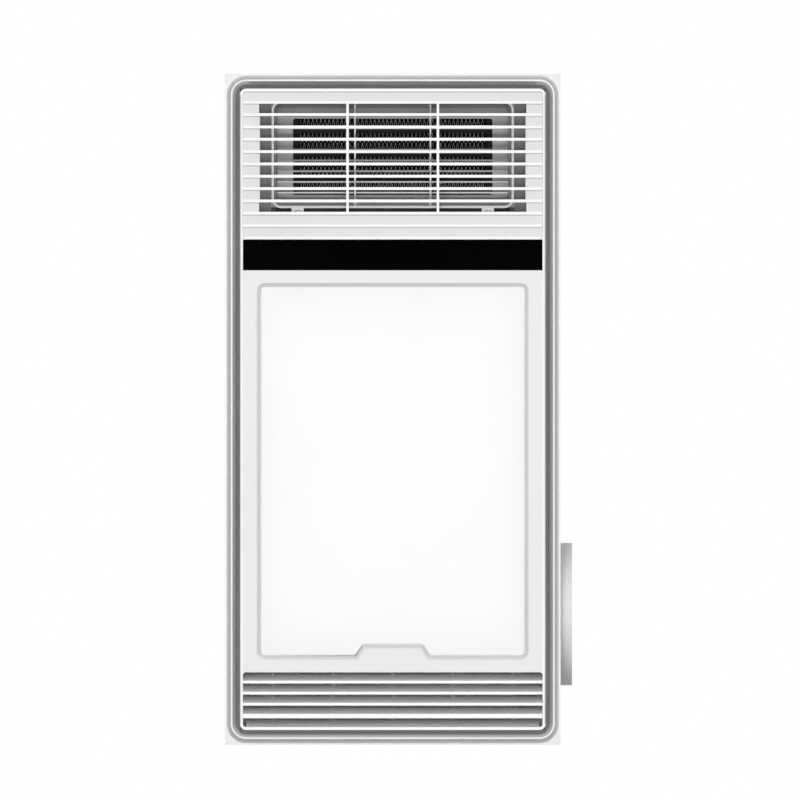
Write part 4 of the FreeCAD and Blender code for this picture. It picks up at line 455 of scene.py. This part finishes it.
def grooved(name, base, rough):
    """Moulded plastic with painted light and shade down the slope outside the bead, a painted highlight on its
    crest and painted shade in the groove inside it.
    """
    finish = Finish(name)
    low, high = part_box("panel_frame")
    clouds, grain = finish.moulding()
    x, y, level = finish.axes()
    height = level - low.z
    # Painted shade in the groove, deepest at its floor and heavier at the warm-air end
    depth = finish.climb(height, *GROOVE_DEPTH)
    floor = finish.ramp(height, *GROOVE_FLOOR)
    under = finish.inside(x, high.x - FLOOR_INSET) * finish.inside(y, high.y - FLOOR_INSET) * floor
    end = finish.ramp(y - low.y, *END_GROOVE) * finish.ramp(finish.apart(x), *END_GROOVE_REACH)
    soot_and_shade = depth ** 1.5 * 0.57 + floor * 0.25 + under * 0.17 + end * (1.0 - depth) * 0.55
    inside = finish.inside(x, high.x - BEAD_INSET) * finish.inside(y, high.y - BEAD_INSET)
    # Painted light and shade down the outer slope: lighter at its outer edge, darker at the foot of the bead
    slope = finish.mix(finish.climb(height, *SLOPE_FALL), tinted(base, 1.20), tinted(base, 0.72))
    plate = finish.mix(finish.facing_out(), finish.clouded(clouds, base), slope)
    # Painted highlight on the crest of the bead
    crest_highlighted = finish.mix(finish.ramp(height, *BEAD_CREST), plate, tinted(base, 1.18))
    tone = finish.mix(soot_and_shade * inside * finish.facing_down(), crest_highlighted, tinted(base, 0.02))
    return finish.plastic(tone, rough, clouds, grain)


def nozzle_grey(name, base, dark, lip):
    """Grey moulding with its lip, comb and back plate painted lighter as painted light, its side wings painted
    dark as painted shade, and painted shadow over and under the blades.
    """
    finish = Finish(name)
    clouds, grain = finish.moulding(NOZZLE_CLOUD_SCALE)
    x, y, level = finish.axes()
    across = finish.apart(x)
    back = finish.ramp(level, *BACK_LEVEL)
    side = finish.ramp(across, *WING_SIDE)
    comb = finish.inside(across - COMB_PLACE, COMB_HALF) * (1.0 - back)
    # Painted shadow over the blades, heaviest at the top of the back plate
    over = finish.ramp(y, *OVER_SHADOW_PLACE) * 0.32 + finish.ramp(y, *TOP_SHADOW_PLACE) * 0.34
    # Painted shadow under the blades, behind the lower lip
    under = finish.ramp(y, *UNDER_SHADOW_PLACE) * finish.ramp(level, *UNDER_SHADOW_LEVEL) * (1.0 - side) * 0.95
    # The side wings are painted dark: painted shade
    walls = finish.mix(side * (1.0 - back), finish.clouded(clouds, base, 0.05), dark)
    # The back plate takes the lip colour, painted lighter at its foot: painted light
    plain = finish.mix(finish.ramp(y, *BACK_FOOT), tinted(lip, 0.64), lip)
    plate = finish.mix(over, plain, tinted(lip, 0.02))
    deep = finish.mix(under, finish.mix(back, walls, plate), tinted(dark, 0.05))
    # Lip and comb painted lighter: painted light
    tone = finish.mix(finish.ramp(level, *LIP_LEVEL), finish.mix(comb * 0.8, deep, lip), lip)
    return finish.plastic(tone, 0.46, clouds, grain, gloss=0.35, swing=NOZZLE_CLOUD_ROUGHNESS)


def folded_sheet(name, base):
    """Thin bare aluminium, dulled by heat."""
    finish = Finish(name)
    clouds = finish.noise(60.0, 3.0)
    return finish.shade(
        Base_Color=finish.mix(clouds, tinted(base, 0.85), tinted(base, 1.08)),
        Metallic=0.1,
        Roughness=0.42 + clouds * 0.16,
        Normal=finish.bump(finish.noise(700.0), 0.00001, 0.4),
    )


def gloss_black(name, base):
    """Polished black plastic with faint wiping marks."""
    finish = Finish(name)
    marks = finish.noise(38.0, 4.0, finish.stretched((0.35, 4.0, 1.0)))
    clouds = finish.noise(11.0)
    return finish.shade(
        Base_Color=finish.mix(clouds, tinted(base, 0.7), tinted(base, 1.5)),
        Roughness=0.09 + marks * 0.10,
        Specular_IOR_Level=0.002,
        Normal=finish.bump(marks, 0.00001, 0.3),
    )


def opal_cover(name, base, glow):
    """Opal sheet with the light of the lamps behind it, which falls off towards its edges."""
    finish = Finish(name)
    low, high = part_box("light_cover")
    middle = (low + high) / 2
    half = (high - low) / 2
    x, y, _ = finish.axes()
    across = ((x - middle.x) / half.x) ** 2.0
    along = ((y - middle.y) / half.y) ** 2.0
    edge = 1.0 - (1.0 - across ** 4.0) * (1.0 - along ** 4.0)
    clouds = finish.noise(9.0)
    return finish.shade(
        Base_Color=finish.clouded(clouds, base, 0.015),
        Roughness=0.34 + clouds * 0.10,
        Emission_Color=finish.mix(edge * 0.94 + clouds * 0.06, (1.0, 1.0, 0.995), DARK),
        Emission_Strength=glow,
        Specular_IOR_Level=0.35,
        Normal=finish.bump(finish.noise(900.0), 0.00002, 0.4),
    )


def zinc_sheet(name, base, shade_below=0.0):
    """Zinc-coated steel: crystal spangle, rolling lines, dull patches and, where asked, painted shade on what
    looks down.
    """
    finish = Finish(name)
    warp = finish.node("VectorMath", {"operation": "MULTIPLY_ADD"}, {
        0: finish.node("TexNoise", {}, {"Vector": finish.place, "Scale": 60.0, "Detail": 2.0}, "Color"),
        1: (0.012, 0.012, 0.012),
        2: finish.place,
    })
    crystal = finish.node("TexVoronoi", {}, {"Vector": warp, "Scale": 150.0}, "Color")
    lines = finish.noise(60.0, 3.0, finish.stretched((1.0, 14.0, 14.0)))
    patches = finish.noise(5.0, 4.0)
    spangle = finish.node("SeparateColor", {}, {0: crystal})
    tone = finish.mix(spangle * 0.5 + patches * 0.5, tinted(base, 0.86), tinted(base, 1.10))
    # Painted shade on what looks down, where asked
    painted_shade = finish.facing_down() * shade_below if shade_below else 0.0
    return finish.shade(
        Base_Color=finish.mix(painted_shade, tone, tinted(base, 0.04)),
        Metallic=0.86 - painted_shade * 0.8,
        Roughness=0.38 + spangle * 0.07 + patches * 0.12 + lines * 0.06,
        Normal=finish.bump(spangle * 0.6 + lines * 0.4, 0.00004, 0.5),
    )


def plated(name, base):
    """Bright plated metal with fine turning marks and dull spots."""
    finish = Finish(name)
    marks = finish.noise(900.0, 2.0, finish.stretched((1.0, 1.0, 6.0)))
    spots = finish.noise(70.0, 4.0)
    return finish.shade(
        Base_Color=finish.mix(spots, tinted(base, 0.82), tinted(base, 1.10)),
        Metallic=1.0,
        Roughness=0.26 + spots * 0.18 + marks * 0.06,
        Normal=finish.bump(marks, 0.00001, 0.4),
    )


def lamp_board(name, base):
    """White solder mask with the faint relief of the tracks under it."""
    finish = Finish(name)
    tracks = finish.node("TexBrick", {"offset": 0.5}, {
        "Vector": finish.place, "Scale": 40.0, "Mortar Size": 0.05,
        "Color1": solid(WHITE), "Color2": (0.9, 0.9, 0.9, 1.0), "Mortar": solid(DARK),
    }, "Fac")
    clouds = finish.noise(30.0)
    return finish.shade(
        Base_Color=finish.mix(tracks * 0.6 + clouds * 0.4, base, tinted(base, 0.9)),
        Roughness=0.42 + clouds * 0.12,
        Normal=finish.bump(1.0 - tracks, 0.00003, 0.5),
    )


def lamp_chip(name, base, glow):
    """Yellow phosphor under clear resin, lit."""
    finish = Finish(name)
    clouds = finish.noise(400.0)
    return finish.shade(
        Base_Color=finish.clouded(clouds, base, 0.08),
        Roughness=0.22 + clouds * 0.1,
        Coat_Weight=0.6,
        Coat_Roughness=0.08,
        Emission_Color=finish.mix(clouds, (1.0, 0.97, 0.90), (1.0, 1.0, 0.96)),
        Emission_Strength=glow,
    )


def dress(material, *nodes):
    """Gives CAD nodes a finish."""
    for node in nodes:
        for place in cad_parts[node].material_slots:
            place.material = material


# Modelling steps
def only(piece):
    """Makes a piece the only one selected, and the active one."""
    bpy.ops.object.select_all(action="DESELECT")
    piece.select_set(True)
    bpy.context.view_layer.objects.active = piece
    return piece


def start(add, name, **options):
    """Adds a primitive by itself and names it."""
    bpy.ops.object.select_all(action="DESELECT")
    add(**options)
    piece = bpy.context.object
    piece.name = piece.data.name = name
    return piece


def merge_all():
    """Merges doubled points and turns all faces outwards."""
    bpy.ops.mesh.select_all(action="SELECT")
    bpy.ops.mesh.remove_doubles(threshold=MERGE_DISTANCE)
    bpy.ops.mesh.normals_make_consistent(inside=False)


@contextlib.contextmanager
def editing(piece):
    """Edit mode on one piece, left with clean normals and the place in the mesh."""
    bpy.ops.object.mode_set(mode="EDIT")
    yield piece
    merge_all()
    bpy.ops.object.mode_set(mode="OBJECT")
    bpy.ops.object.transform_apply()


def pick_faces(piece, test):
    """Selects only the faces that pass a test."""
    bpy.ops.mesh.select_mode(type="FACE")
    bpy.ops.mesh.select_all(action="DESELECT")
    mesh = bmesh.from_edit_mesh(piece.data)
    for face in mesh.faces:
        if test(face):
            face.select_set(True)
    mesh.select_flush_mode()
    bmesh.update_edit_mesh(piece.data)


def bar(name, low, high, rounding, segments=2):
    """A bar between two corners with rounded edges."""
    low, high = Vector(low), Vector(high)
    piece = start(bpy.ops.mesh.primitive_cube_add, name, size=1.0, location=(low + high) / 2)
    with editing(piece):
        bpy.ops.transform.resize(value=high - low)
        bpy.ops.mesh.bevel(offset=rounding, segments=segments, affect="EDGES")
    return piece


def turned(name, sides, *rings):
    """A turned piece: a disc drawn up ring by ring, each a radius and a height, and closed at both ends."""
    radius, level = rings[0]
    piece = start(
        bpy.ops.mesh.primitive_circle_add, name, vertices=sides, radius=radius, fill_type="NGON",
        location=(0.0, 0.0, level),
    )
    with editing(piece):
        for wide, high in rings[1:]:
            bpy.ops.mesh.extrude_region_move(TRANSFORM_OT_translate={"value": (0.0, 0.0, high - level)})
            grow = wide / radius
            bpy.ops.transform.resize(value=(grow, grow, 1.0), center_override=(0.0, 0.0, high))
            radius, level = wide, high
    return piece


def joined(name, pieces):
    """One piece of several."""
    first = only(pieces[0])
    for piece in pieces[1:]:
        piece.select_set(True)
    if len(pieces) > 1:
        bpy.ops.object.join()
    bpy.ops.object.transform_apply()
    first.name = first.data.name = name
    return first


def repeated(name, master, spots):
    """Copies a piece to each spot, a place, the way it faces and a twist, and joins the copies."""
    made = []
    for place, way, twist in spots:
        only(master)
        bpy.ops.object.duplicate(linked=False)
        turn = Vector(way).to_track_quat("Z", "Y") @ Quaternion((0.0, 0.0, 1.0), twist)
        bpy.context.object.matrix_world = Matrix.Translation(place) @ turn.to_matrix().to_4x4()
        made.append(bpy.context.object)
    bpy.data.objects.remove(master)
    return joined(name, made)


def fitted(piece, finish, slot, *nodes, body=ROOT):
    """Gives a finished piece its finish and its body, and shows it for the CAD nodes that it stands for."""
    only(piece)
    bpy.ops.object.shade_smooth_by_angle(angle=SHARP_ANGLE)
    piece.data.materials.clear()
    piece.data.materials.append(bpy.data.materials[finish])
    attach(piece, body)
    if nodes:
        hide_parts(*nodes)


def solids(node):
    """The boxes of the separate solids of a CAD node."""
    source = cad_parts[node]
    mesh = bmesh.new()
    mesh.from_mesh(source.data)
    bmesh.ops.remove_doubles(mesh, verts=mesh.verts, dist=CAD_MERGE_DISTANCE)
    left = set(mesh.verts)
    boxes = []
    while left:
        front = [left.pop()]
        points = []
        while front:
            point = front.pop()
            points.append(source.matrix_world @ point.co)
            near = {other for edge in point.link_edges for other in edge.verts} & left
            left -= near
            front += near
        boxes.append((Vector(map(min, zip(*points))), Vector(map(max, zip(*points)))))
    mesh.free()
    return sorted(boxes, key=lambda box: tuple(box[0]))


class HEATER_OT_face(bpy.types.Operator):
    """Finish the face: frame, panel, both grilles and the strip"""

    bl_idname = "heater.finish_face"
    bl_label = "Finish the face"

    def execute(self, context):
        tones = context.scene.heater_colours
        dress(rimmed("satin_white", tones.white, tones.rib, 0.42), "face_panel")
        dress(grooved("edge_white", tones.white, 0.42), "panel_frame")
        # The grille plates are a little darker than the face: painted shade of their recess
        plate = tinted(tones.white, 0.895)
        dress(ribbed("ribbed_white", plate, tones.rib, 0.44, 0.32), "outlet_grille")
        dress(ribbed("slatted_white", plate, tones.rib, 0.44), "intake_grille")
        dress(gloss_black("gloss_black", tones.black), "trim_strip")
        return {"FINISHED"}


class HEATER_OT_light(bpy.types.Operator):
    """Finish the light: opal cover, tray, lamp boards, chips and driver"""

    bl_idname = "heater.finish_light"
    bl_label = "Finish the light"

    def execute(self, context):
        tones = context.scene.heater_colours
        dress(opal_cover("opal_sheet", tones.opal, tones.glow), "light_cover")
        dress(lamp_board("lamp_board", tones.board), "led_boards")
        dress(lamp_chip("lamp_chip", tones.phosphor, tones.lamp_glow), "led_chips")
        dress(moulded("tray_white", tinted(tones.white, 0.97), 0.5), "led_tray", "led_driver")
        return {"FINISHED"}


class HEATER_OT_air(bpy.types.Operator):
    """Finish the air path: nozzle, blades, heating block, blowers and duct collar"""

    bl_idname = "heater.finish_air"
    bl_label = "Finish the air path"

    def execute(self, context):
        tones = context.scene.heater_colours
        blades = [f"louver_{step}" for step in range(2, 9)]
        dress(nozzle_grey("nozzle_grey", tones.grey, tones.wing, tones.lip), "air_nozzle")
        dress(moulded("blade_grey", tones.blade, 0.5), "louver_link", *blades)
        # The first blade is painted darker: painted shadow of the slat and nozzle wall over it
        dress(moulded("blade_shaded", tinted(tones.blade, 0.6), 0.55), "louver_1")
        dress(
            moulded("collar_grey", tones.collar, 0.52),
            "duct_collar", "backdraft_flap", "wiring_box", "wiring_lid", "cable_gland",
            "heater_volute", "heater_inlet", "exhaust_volute", "exhaust_inlet",
        )
        dress(
            moulded("soot_black", tones.soot_and_shade, 0.55, 0.10),
            "ptc_holder", "ptc_rods", "heater_impeller", "exhaust_impeller",
            "run_capacitors", "terminal_block", "catch_magnets", "hot_air_hood",
        )
        dress(folded_sheet("folded_aluminium", tones.aluminium), "ptc_fins")
        dress(plated("brass_tab", tones.brass), "ptc_terminals")
        return {"FINISHED"}


class HEATER_OT_metal(bpy.types.Operator):
    """Finish the sheet metal, motors, pins and screws"""

    bl_idname = "heater.finish_metal"
    bl_label = "Finish the metal"

    def execute(self, context):
        tones = context.scene.heater_colours
        dress(zinc_sheet("zinc_sheet", tones.zinc), "housing", "hanger_brackets", "nozzle_brackets")
        # The flange is painted dark where it looks down: painted shade
        dress(zinc_sheet("shaded_zinc", tones.zinc, 0.8), "housing_flange")
        dress(
            plated("plated_steel", tones.steel),
            "cover_hinge_pins", "catch_plates", "tray_screws", "bracket_rivets", "panel_screws",
            "nozzle_screws", "louver_motor", "louver_motor_shaft", "thermal_cutout", "heater_motor",
            "heater_shaft", "exhaust_motor", "exhaust_shaft", "blower_screws", "collar_screws", "flap_pin",
            "lid_screws",
        )
        return {"FINISHED"}


class HEATER_OT_screws(bpy.types.Operator):
    """Put pan-head screws with a cross recess where the screws show"""

    bl_idname = "heater.add_screws"
    bl_label = "Add the screws"

    def screw(self, sizes, reach):
        radius, height, core = sizes.head_radius, sizes.head_height, sizes.shank_radius
        piece = turned(
            "screw", 24,
            (core * 0.4, -reach), (core, core - reach), (core, 0.0), (radius, 0.0), (radius, height * 0.3),
            (radius * 0.93, height * 0.62), (radius * 0.72, height * 0.88), (radius * 0.4, height),
        )
        cutter = start(bpy.ops.mesh.primitive_cube_add, "recess", size=1.0, location=(0.0, 0.0, height))
        with editing(cutter):
            bpy.ops.transform.resize(value=(radius * 1.15, radius * 0.26, height * 1.2))
            pick_faces(cutter, lambda face: face.normal.z < -0.5)
            bpy.ops.transform.resize(value=(0.45, 0.7, 1.0))
        for turn in (0.0, math.pi / 2):
            cutter.rotation_euler.z = turn
            bpy.context.view_layer.objects.active = piece
            recess = piece.modifiers.new("recess", "BOOLEAN")
            recess.object = cutter
            recess.operation = "DIFFERENCE"
            recess.solver = "EXACT"
            bpy.ops.object.modifier_apply(modifier=recess.name)
        bpy.data.objects.remove(cutter)
        return piece

    def execute(self, context):
        sizes = context.scene.heater_fittings
        ways = {
            "panel_screws": (0, 0, 1), "blower_screws": (0, 0, 1), "collar_screws": (1, 0, 0),
            "lid_screws": (-1, 0, 0), "nozzle_screws": (0, 0, -1),
        }
        for node, way in ways.items():
            axis = [abs(part) for part in way].index(1)
            spots = []
            for step, (low, high) in enumerate(solids(node)):
                seat = (low + high) / 2
                end = high[axis] if sum(way) > 0 else low[axis]
                seat[axis] = end - sum(way) * sizes.head_height
                spots.append((seat, way, SCREW_TWIST * step))
            reach = (high - low)[axis] - sizes.head_height
            screws = repeated("shown_" + node, self.screw(sizes, reach), spots)
            fitted(screws, "plated_steel", "steel", node)
        return {"FINISHED"}


class HEATER_OT_rivets(bpy.types.Operator):
    """Put domed blind rivets on the hanger brackets"""

    bl_idname = "heater.add_rivets"
    bl_label = "Add the rivets"

    def execute(self, context):
        sizes = context.scene.heater_fittings
        radius, height = sizes.rivet_radius, sizes.rivet_height
        spots = []
        for step, (low, high) in enumerate(solids("bracket_rivets")):
            out = 1 if low.y > 0 else -1
            seat = (low + high) / 2
            seat.y = high.y - height if out > 0 else low.y + height
            spots.append((seat, (0, out, 0), RIVET_TWIST * step))
        reach = high.y - low.y - height
        rivet = turned(
            "rivet", 20,
            (radius * 0.5, -reach), (radius * 0.5, 0.0), (radius, 0.0), (radius, height * 0.2),
            (radius * 0.92, height * 0.55), (radius * 0.7, height * 0.85), (radius * 0.36, height),
            (radius * 0.30, height * 0.96), (radius * 0.28, height * 0.35),
        )
        rivets = repeated("shown_bracket_rivets", rivet, spots)
        fitted(rivets, "plated_steel", "steel", "bracket_rivets")
        return {"FINISHED"}


class HEATER_OT_gland(bpy.types.Operator):
    """Shape the cable gland: hexagon, ribbed cap nut and rubber seal"""

    bl_idname = "heater.add_gland"
    bl_label = "Shape the gland"

    def execute(self, context):
        sizes = context.scene.heater_fittings
        low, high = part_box("cable_gland")
        middle = (low + high) / 2
        reach = high.y - low.y
        corner = (high.x - low.x) / 2
        nut = corner * 0.80
        hexagon = turned(
            "hexagon", 6,
            (corner * 0.8, 0.0), (corner * 0.8, 0.002), (corner, 0.002), (corner, reach * 0.36),
            (corner * 0.93, reach * 0.40),
        )
        cap = turned(
            "cap", 28,
            (nut * 0.9, reach * 0.38), (nut, reach * 0.43), (nut, reach * 0.74), (nut * 0.94, reach * 0.88),
            (nut * 0.80, reach * 0.97), (nut * 0.70, reach), (nut * 0.58, reach), (nut * 0.55, reach * 0.97),
            (nut * 0.55, reach * 0.60),
        )
        foot, crest = (nut * 0.90, -0.0005, reach * 0.44), (nut * 1.07, 0.0005, reach * 0.76)
        rib = bar("rib", foot, crest, SMALL_ROUNDING)
        turn = 2.0 * math.pi / sizes.gland_ribs
        turns = [((0, 0, 0), (0, 0, 1), turn * step) for step in range(sizes.gland_ribs)]
        body = joined("gland_body", [hexagon, cap, repeated("ribs", rib, turns)])
        place = [((middle.x, low.y, middle.z), (0, 1, 0), 0.0)]
        gland = repeated("shown_cable_gland", body, place)
        fitted(gland, "soot_black", "black_plastic", "cable_gland")
        seal = turned(
            "seal", 28,
            (nut * 0.54, reach * 0.66), (nut * 0.54, reach * 0.93), (nut * 0.47, reach * 0.955),
            (nut * 0.40, reach * 0.93), (nut * 0.38, reach * 0.70),
        )
        moulded("rubber_grey", context.scene.heater_colours.wing, 0.7)
        fitted(repeated("gland_seal", seal, place), "rubber_grey", "grey_plastic")
        return {"FINISHED"}


class HEATER_OT_housing(bpy.types.Operator):
    """Add corner laps with spot welds, pressed beads and knock-outs to the housing"""

    bl_idname = "heater.add_housing_details"
    bl_label = "Detail the housing"

    def laps(self, sizes, wall, base, top):
        half = sizes.lap_width / 2
        tall = (top - base) / 2 - LAP_SHORT
        lap = bar("lap", (-half, -tall, -sizes.lap_sheet / 2), (half, tall, sizes.lap_sheet), SMALL_ROUNDING)
        weld = turned("weld", 14, *WELD_RINGS)
        step = 2.0 * tall / sizes.weld_count
        rows = [
            ((0.0, (row + 0.5) * step - tall, sizes.lap_sheet), (0, 0, 1), 0.0)
            for row in range(sizes.weld_count)
        ]
        lap = joined("lap", [lap, repeated("welds", weld, rows)])
        spots = [
            ((side * (wall.x - half - LAP_INSET), end * wall.y, (top + base) / 2), (0, end, 0), 0.0)
            for side in (-1, 1) for end in (-1, 1)
        ]
        return repeated("corner_laps", lap, spots)

    def beads(self, sizes, wall):
        end = Vector((sizes.bead_length / 2, BEAD_HALF_WIDTH, BEAD_RISE))
        bead = bar("bead", -end, end, BEAD_ROUNDING, 4)
        spots = [((-wall.x, y, z), (-1, 0, 0), 0.0) for y, z in PLAIN_WALL_BEADS]
        spots += [((wall.x, y, z), (1, 0, 0), 0.0) for y, z in DUCT_WALL_BEADS]
        return repeated("wall_beads", bead, spots)

    def knockouts(self, sizes, wall):
        radius = sizes.knockout_radius
        disc = turned(
            "knockout", 32,
            (radius, -0.0002), (radius, 0.0003), (radius * 0.985, 0.00045), (radius * 0.90, 0.00045),
            (radius * 0.88, 0.0001),
        )
        spots = [((-wall.x, y, z), (-1, 0, 0), 0.0) for y, z in KNOCKOUTS]
        return repeated("knockouts", disc, spots)

    def execute(self, context):
        sizes = context.scene.heater_fittings
        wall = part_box("housing")[1]
        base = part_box("housing_flange")[1].z
        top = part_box("duct_collar")[1].z
        fitted(self.laps(sizes, wall, base, top), "zinc_sheet", "zinc_steel")
        fitted(self.beads(sizes, wall), "zinc_sheet", "zinc_steel")
        fitted(self.knockouts(sizes, wall), "zinc_sheet", "zinc_steel")
        return {"FINISHED"}


class HEATER_OT_lip(bpy.types.Operator):
    """Put the thin light seal round the edge of the opal cover"""

    bl_idname = "heater.add_cover_lip"
    bl_label = "Add the cover lip"

    def execute(self, context):
        sizes = context.scene.heater_fittings
        only(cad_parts["light_cover"])
        bpy.ops.object.duplicate(linked=False)
        lip = context.object
        with editing(lip):
            merge_all()
            bpy.ops.transform.shrink_fatten(value=sizes.lip_reach, use_even_offset=True)
            for level, way in ((sizes.lip_level, -1.0), (sizes.lip_level + sizes.lip_sheet, 1.0)):
                bpy.ops.mesh.select_all(action="SELECT")
                bpy.ops.mesh.bisect(
                    plane_co=(0.0, 0.0, level), plane_no=(0.0, 0.0, way), use_fill=True, clear_outer=True
                )
            pick_faces(lip, lambda face: len(face.verts) > CUT_SIDE_CORNERS)
            bpy.ops.mesh.inset(thickness=sizes.lip_width)
            bpy.ops.mesh.bridge_edge_loops()
        lip.name = lip.data.name = "cover_lip"
        fitted(lip, "opal_sheet", "opal", body="light_cover")
        return {"FINISHED"}


class HEATER_OT_plugs(bpy.types.Operator):
    """Put a wire plug on each lamp board"""

    bl_idname = "heater.add_board_plugs"
    bl_label = "Add the board plugs"

    def execute(self, context):
        sizes = context.scene.heater_fittings
        half = sizes.plug_length / 2
        low, high = (-half, -PLUG_HALF_WIDTH, -PLUG_SUNK), (half, PLUG_HALF_WIDTH, PLUG_HEIGHT)
        plug = bar("plug", low, high, SMALL_ROUNDING)
        with editing(only(plug)):
            pick_faces(plug, lambda face: face.normal.z > 0.9)
            bpy.ops.mesh.inset(thickness=PLUG_WALL)
            bpy.ops.mesh.extrude_region_move(TRANSFORM_OT_translate={"value": (0.0, 0.0, -PLUG_DEPTH)})
        spots = [
            ((low.x + sizes.plug_length, (low.y + high.y) / 2, low.z), (0, 0, -1), 0.0)
            for low, high in solids("led_boards")
        ]
        fitted(repeated("board_plugs", plug, spots), "tray_white", "white_moulding")
        return {"FINISHED"}


class HEATER_OT_stage(bpy.types.Operator):
    """Set the camera under the face, the lamps, the pale floor and the white surround"""

    bl_idname = "heater.set_stage"
    bl_label = "Set the stage"

    def lamp(self, name, place, size, watts):
        bpy.ops.object.light_add(type="AREA", location=place)
        lamp = bpy.context.object
        lamp.name = name
        lamp.data.shape = "SQUARE"
        lamp.data.size = size
        lamp.data.energy = watts
        lamp.rotation_euler = Vector(place).to_track_quat("Z", "Y").to_euler()

    def floor_finish(self):
        """Pale matt floor that keeps the shadow and is nearly white to the camera."""
        finish = Finish("pale_floor")
        clouds = finish.noise(0.8, 3.0)
        matt = finish.node("BsdfDiffuse", {}, {0: finish.mix(clouds, (0.80, 0.80, 0.79), (0.84, 0.84, 0.83))})
        white = finish.node("Emission", {}, {0: solid(WHITE)})
        seen = finish.node("LightPath", output="Is Camera Ray")
        return finish.close(finish.node("MixShader", {}, {0: seen * FLOOR_GLOW, 1: matt, 2: white}))

    def surround(self, ambient):
        """White to the camera and in what shines or is clear, and an even, fainter light elsewhere."""
        sky = Finish("white_surround", "worlds")
        kinds = ("Is Camera Ray", "Is Glossy Ray", "Is Transmission Ray")
        camera, glossy, clear = (sky.node("LightPath", output=kind) for kind in kinds)
        level = sky.node("MapRange", {}, {"Value": camera.most(glossy).most(clear), "To Min": ambient})
        return sky.close(sky.node("Background", {}, {"Color": solid(WHITE), "Strength": level}), "World")

    def execute(self, context):
        stage = context.scene.heater_stage
        bpy.ops.object.select_all(action="DESELECT")
        bpy.ops.object.camera_add(location=stage.camera, rotation=(math.pi, 0.0, 0.0))
        camera = context.object
        camera.data.type = "ORTHO"
        camera.data.ortho_scale = stage.view_width
        context.scene.camera = camera
        for across, along, strength in FACE_LAMPS:
            self.lamp("face_lamp", (across, along, FACE_LAMP_LEVEL), FACE_LAMP_SIZE, stage.key * strength)
        across, along, level = UPPER_LAMP
        for side in (-1, 1):
            self.lamp("upper_lamp", (across * side, along * side, level), UPPER_LAMP_SIZE, stage.top)
        bpy.ops.mesh.primitive_plane_add(size=FLOOR_SIZE, location=(0.0, 0.0, stage.floor))
        floor = context.object
        floor.name = "floor"
        floor.data.materials.append(self.floor_finish())
        context.scene.world = self.surround(stage.ambient)
        context.scene.view_settings.view_transform = "Standard"
        return {"FINISHED"}


OPERATORS = (
    HEATER_OT_face, HEATER_OT_light, HEATER_OT_air, HEATER_OT_metal, HEATER_OT_screws, HEATER_OT_rivets,
    HEATER_OT_gland, HEATER_OT_housing, HEATER_OT_lip, HEATER_OT_plugs, HEATER_OT_stage,
)


class HEATER_PT_steps(bpy.types.Panel):
    """Lists the steps in order"""

    bl_idname = "HEATER_PT_steps"
    bl_label = "Ceiling heater"
    bl_space_type = "VIEW_3D"
    bl_region_type = "UI"
    bl_category = "Heater"

    def draw(self, context):
        for step in OPERATORS:
            self.layout.operator(step.bl_idname)


CLASSES = (HeaterColours, HeaterFittings, HeaterStage, *OPERATORS, HEATER_PT_steps)


def register():
    for kind in CLASSES:
        bpy.utils.register_class(kind)
    bpy.types.Scene.heater_colours = bpy.props.PointerProperty(type=HeaterColours)
    bpy.types.Scene.heater_fittings = bpy.props.PointerProperty(type=HeaterFittings)
    bpy.types.Scene.heater_stage = bpy.props.PointerProperty(type=HeaterStage)


def unregister():
    del bpy.types.Scene.heater_stage
    del bpy.types.Scene.heater_fittings
    del bpy.types.Scene.heater_colours
    for kind in reversed(CLASSES):
        bpy.utils.unregister_class(kind)


def main():
    register()
    bpy.ops.heater.finish_face()
    bpy.ops.heater.finish_light()
    bpy.ops.heater.finish_air()
    bpy.ops.heater.finish_metal()
    bpy.ops.heater.add_screws()
    bpy.ops.heater.add_rivets()
    bpy.ops.heater.add_gland()
    bpy.ops.heater.add_housing_details()
    bpy.ops.heater.add_cover_lip()
    bpy.ops.heater.add_board_plugs()
    bpy.ops.heater.set_stage()


if __name__ == "__main__":
    main()
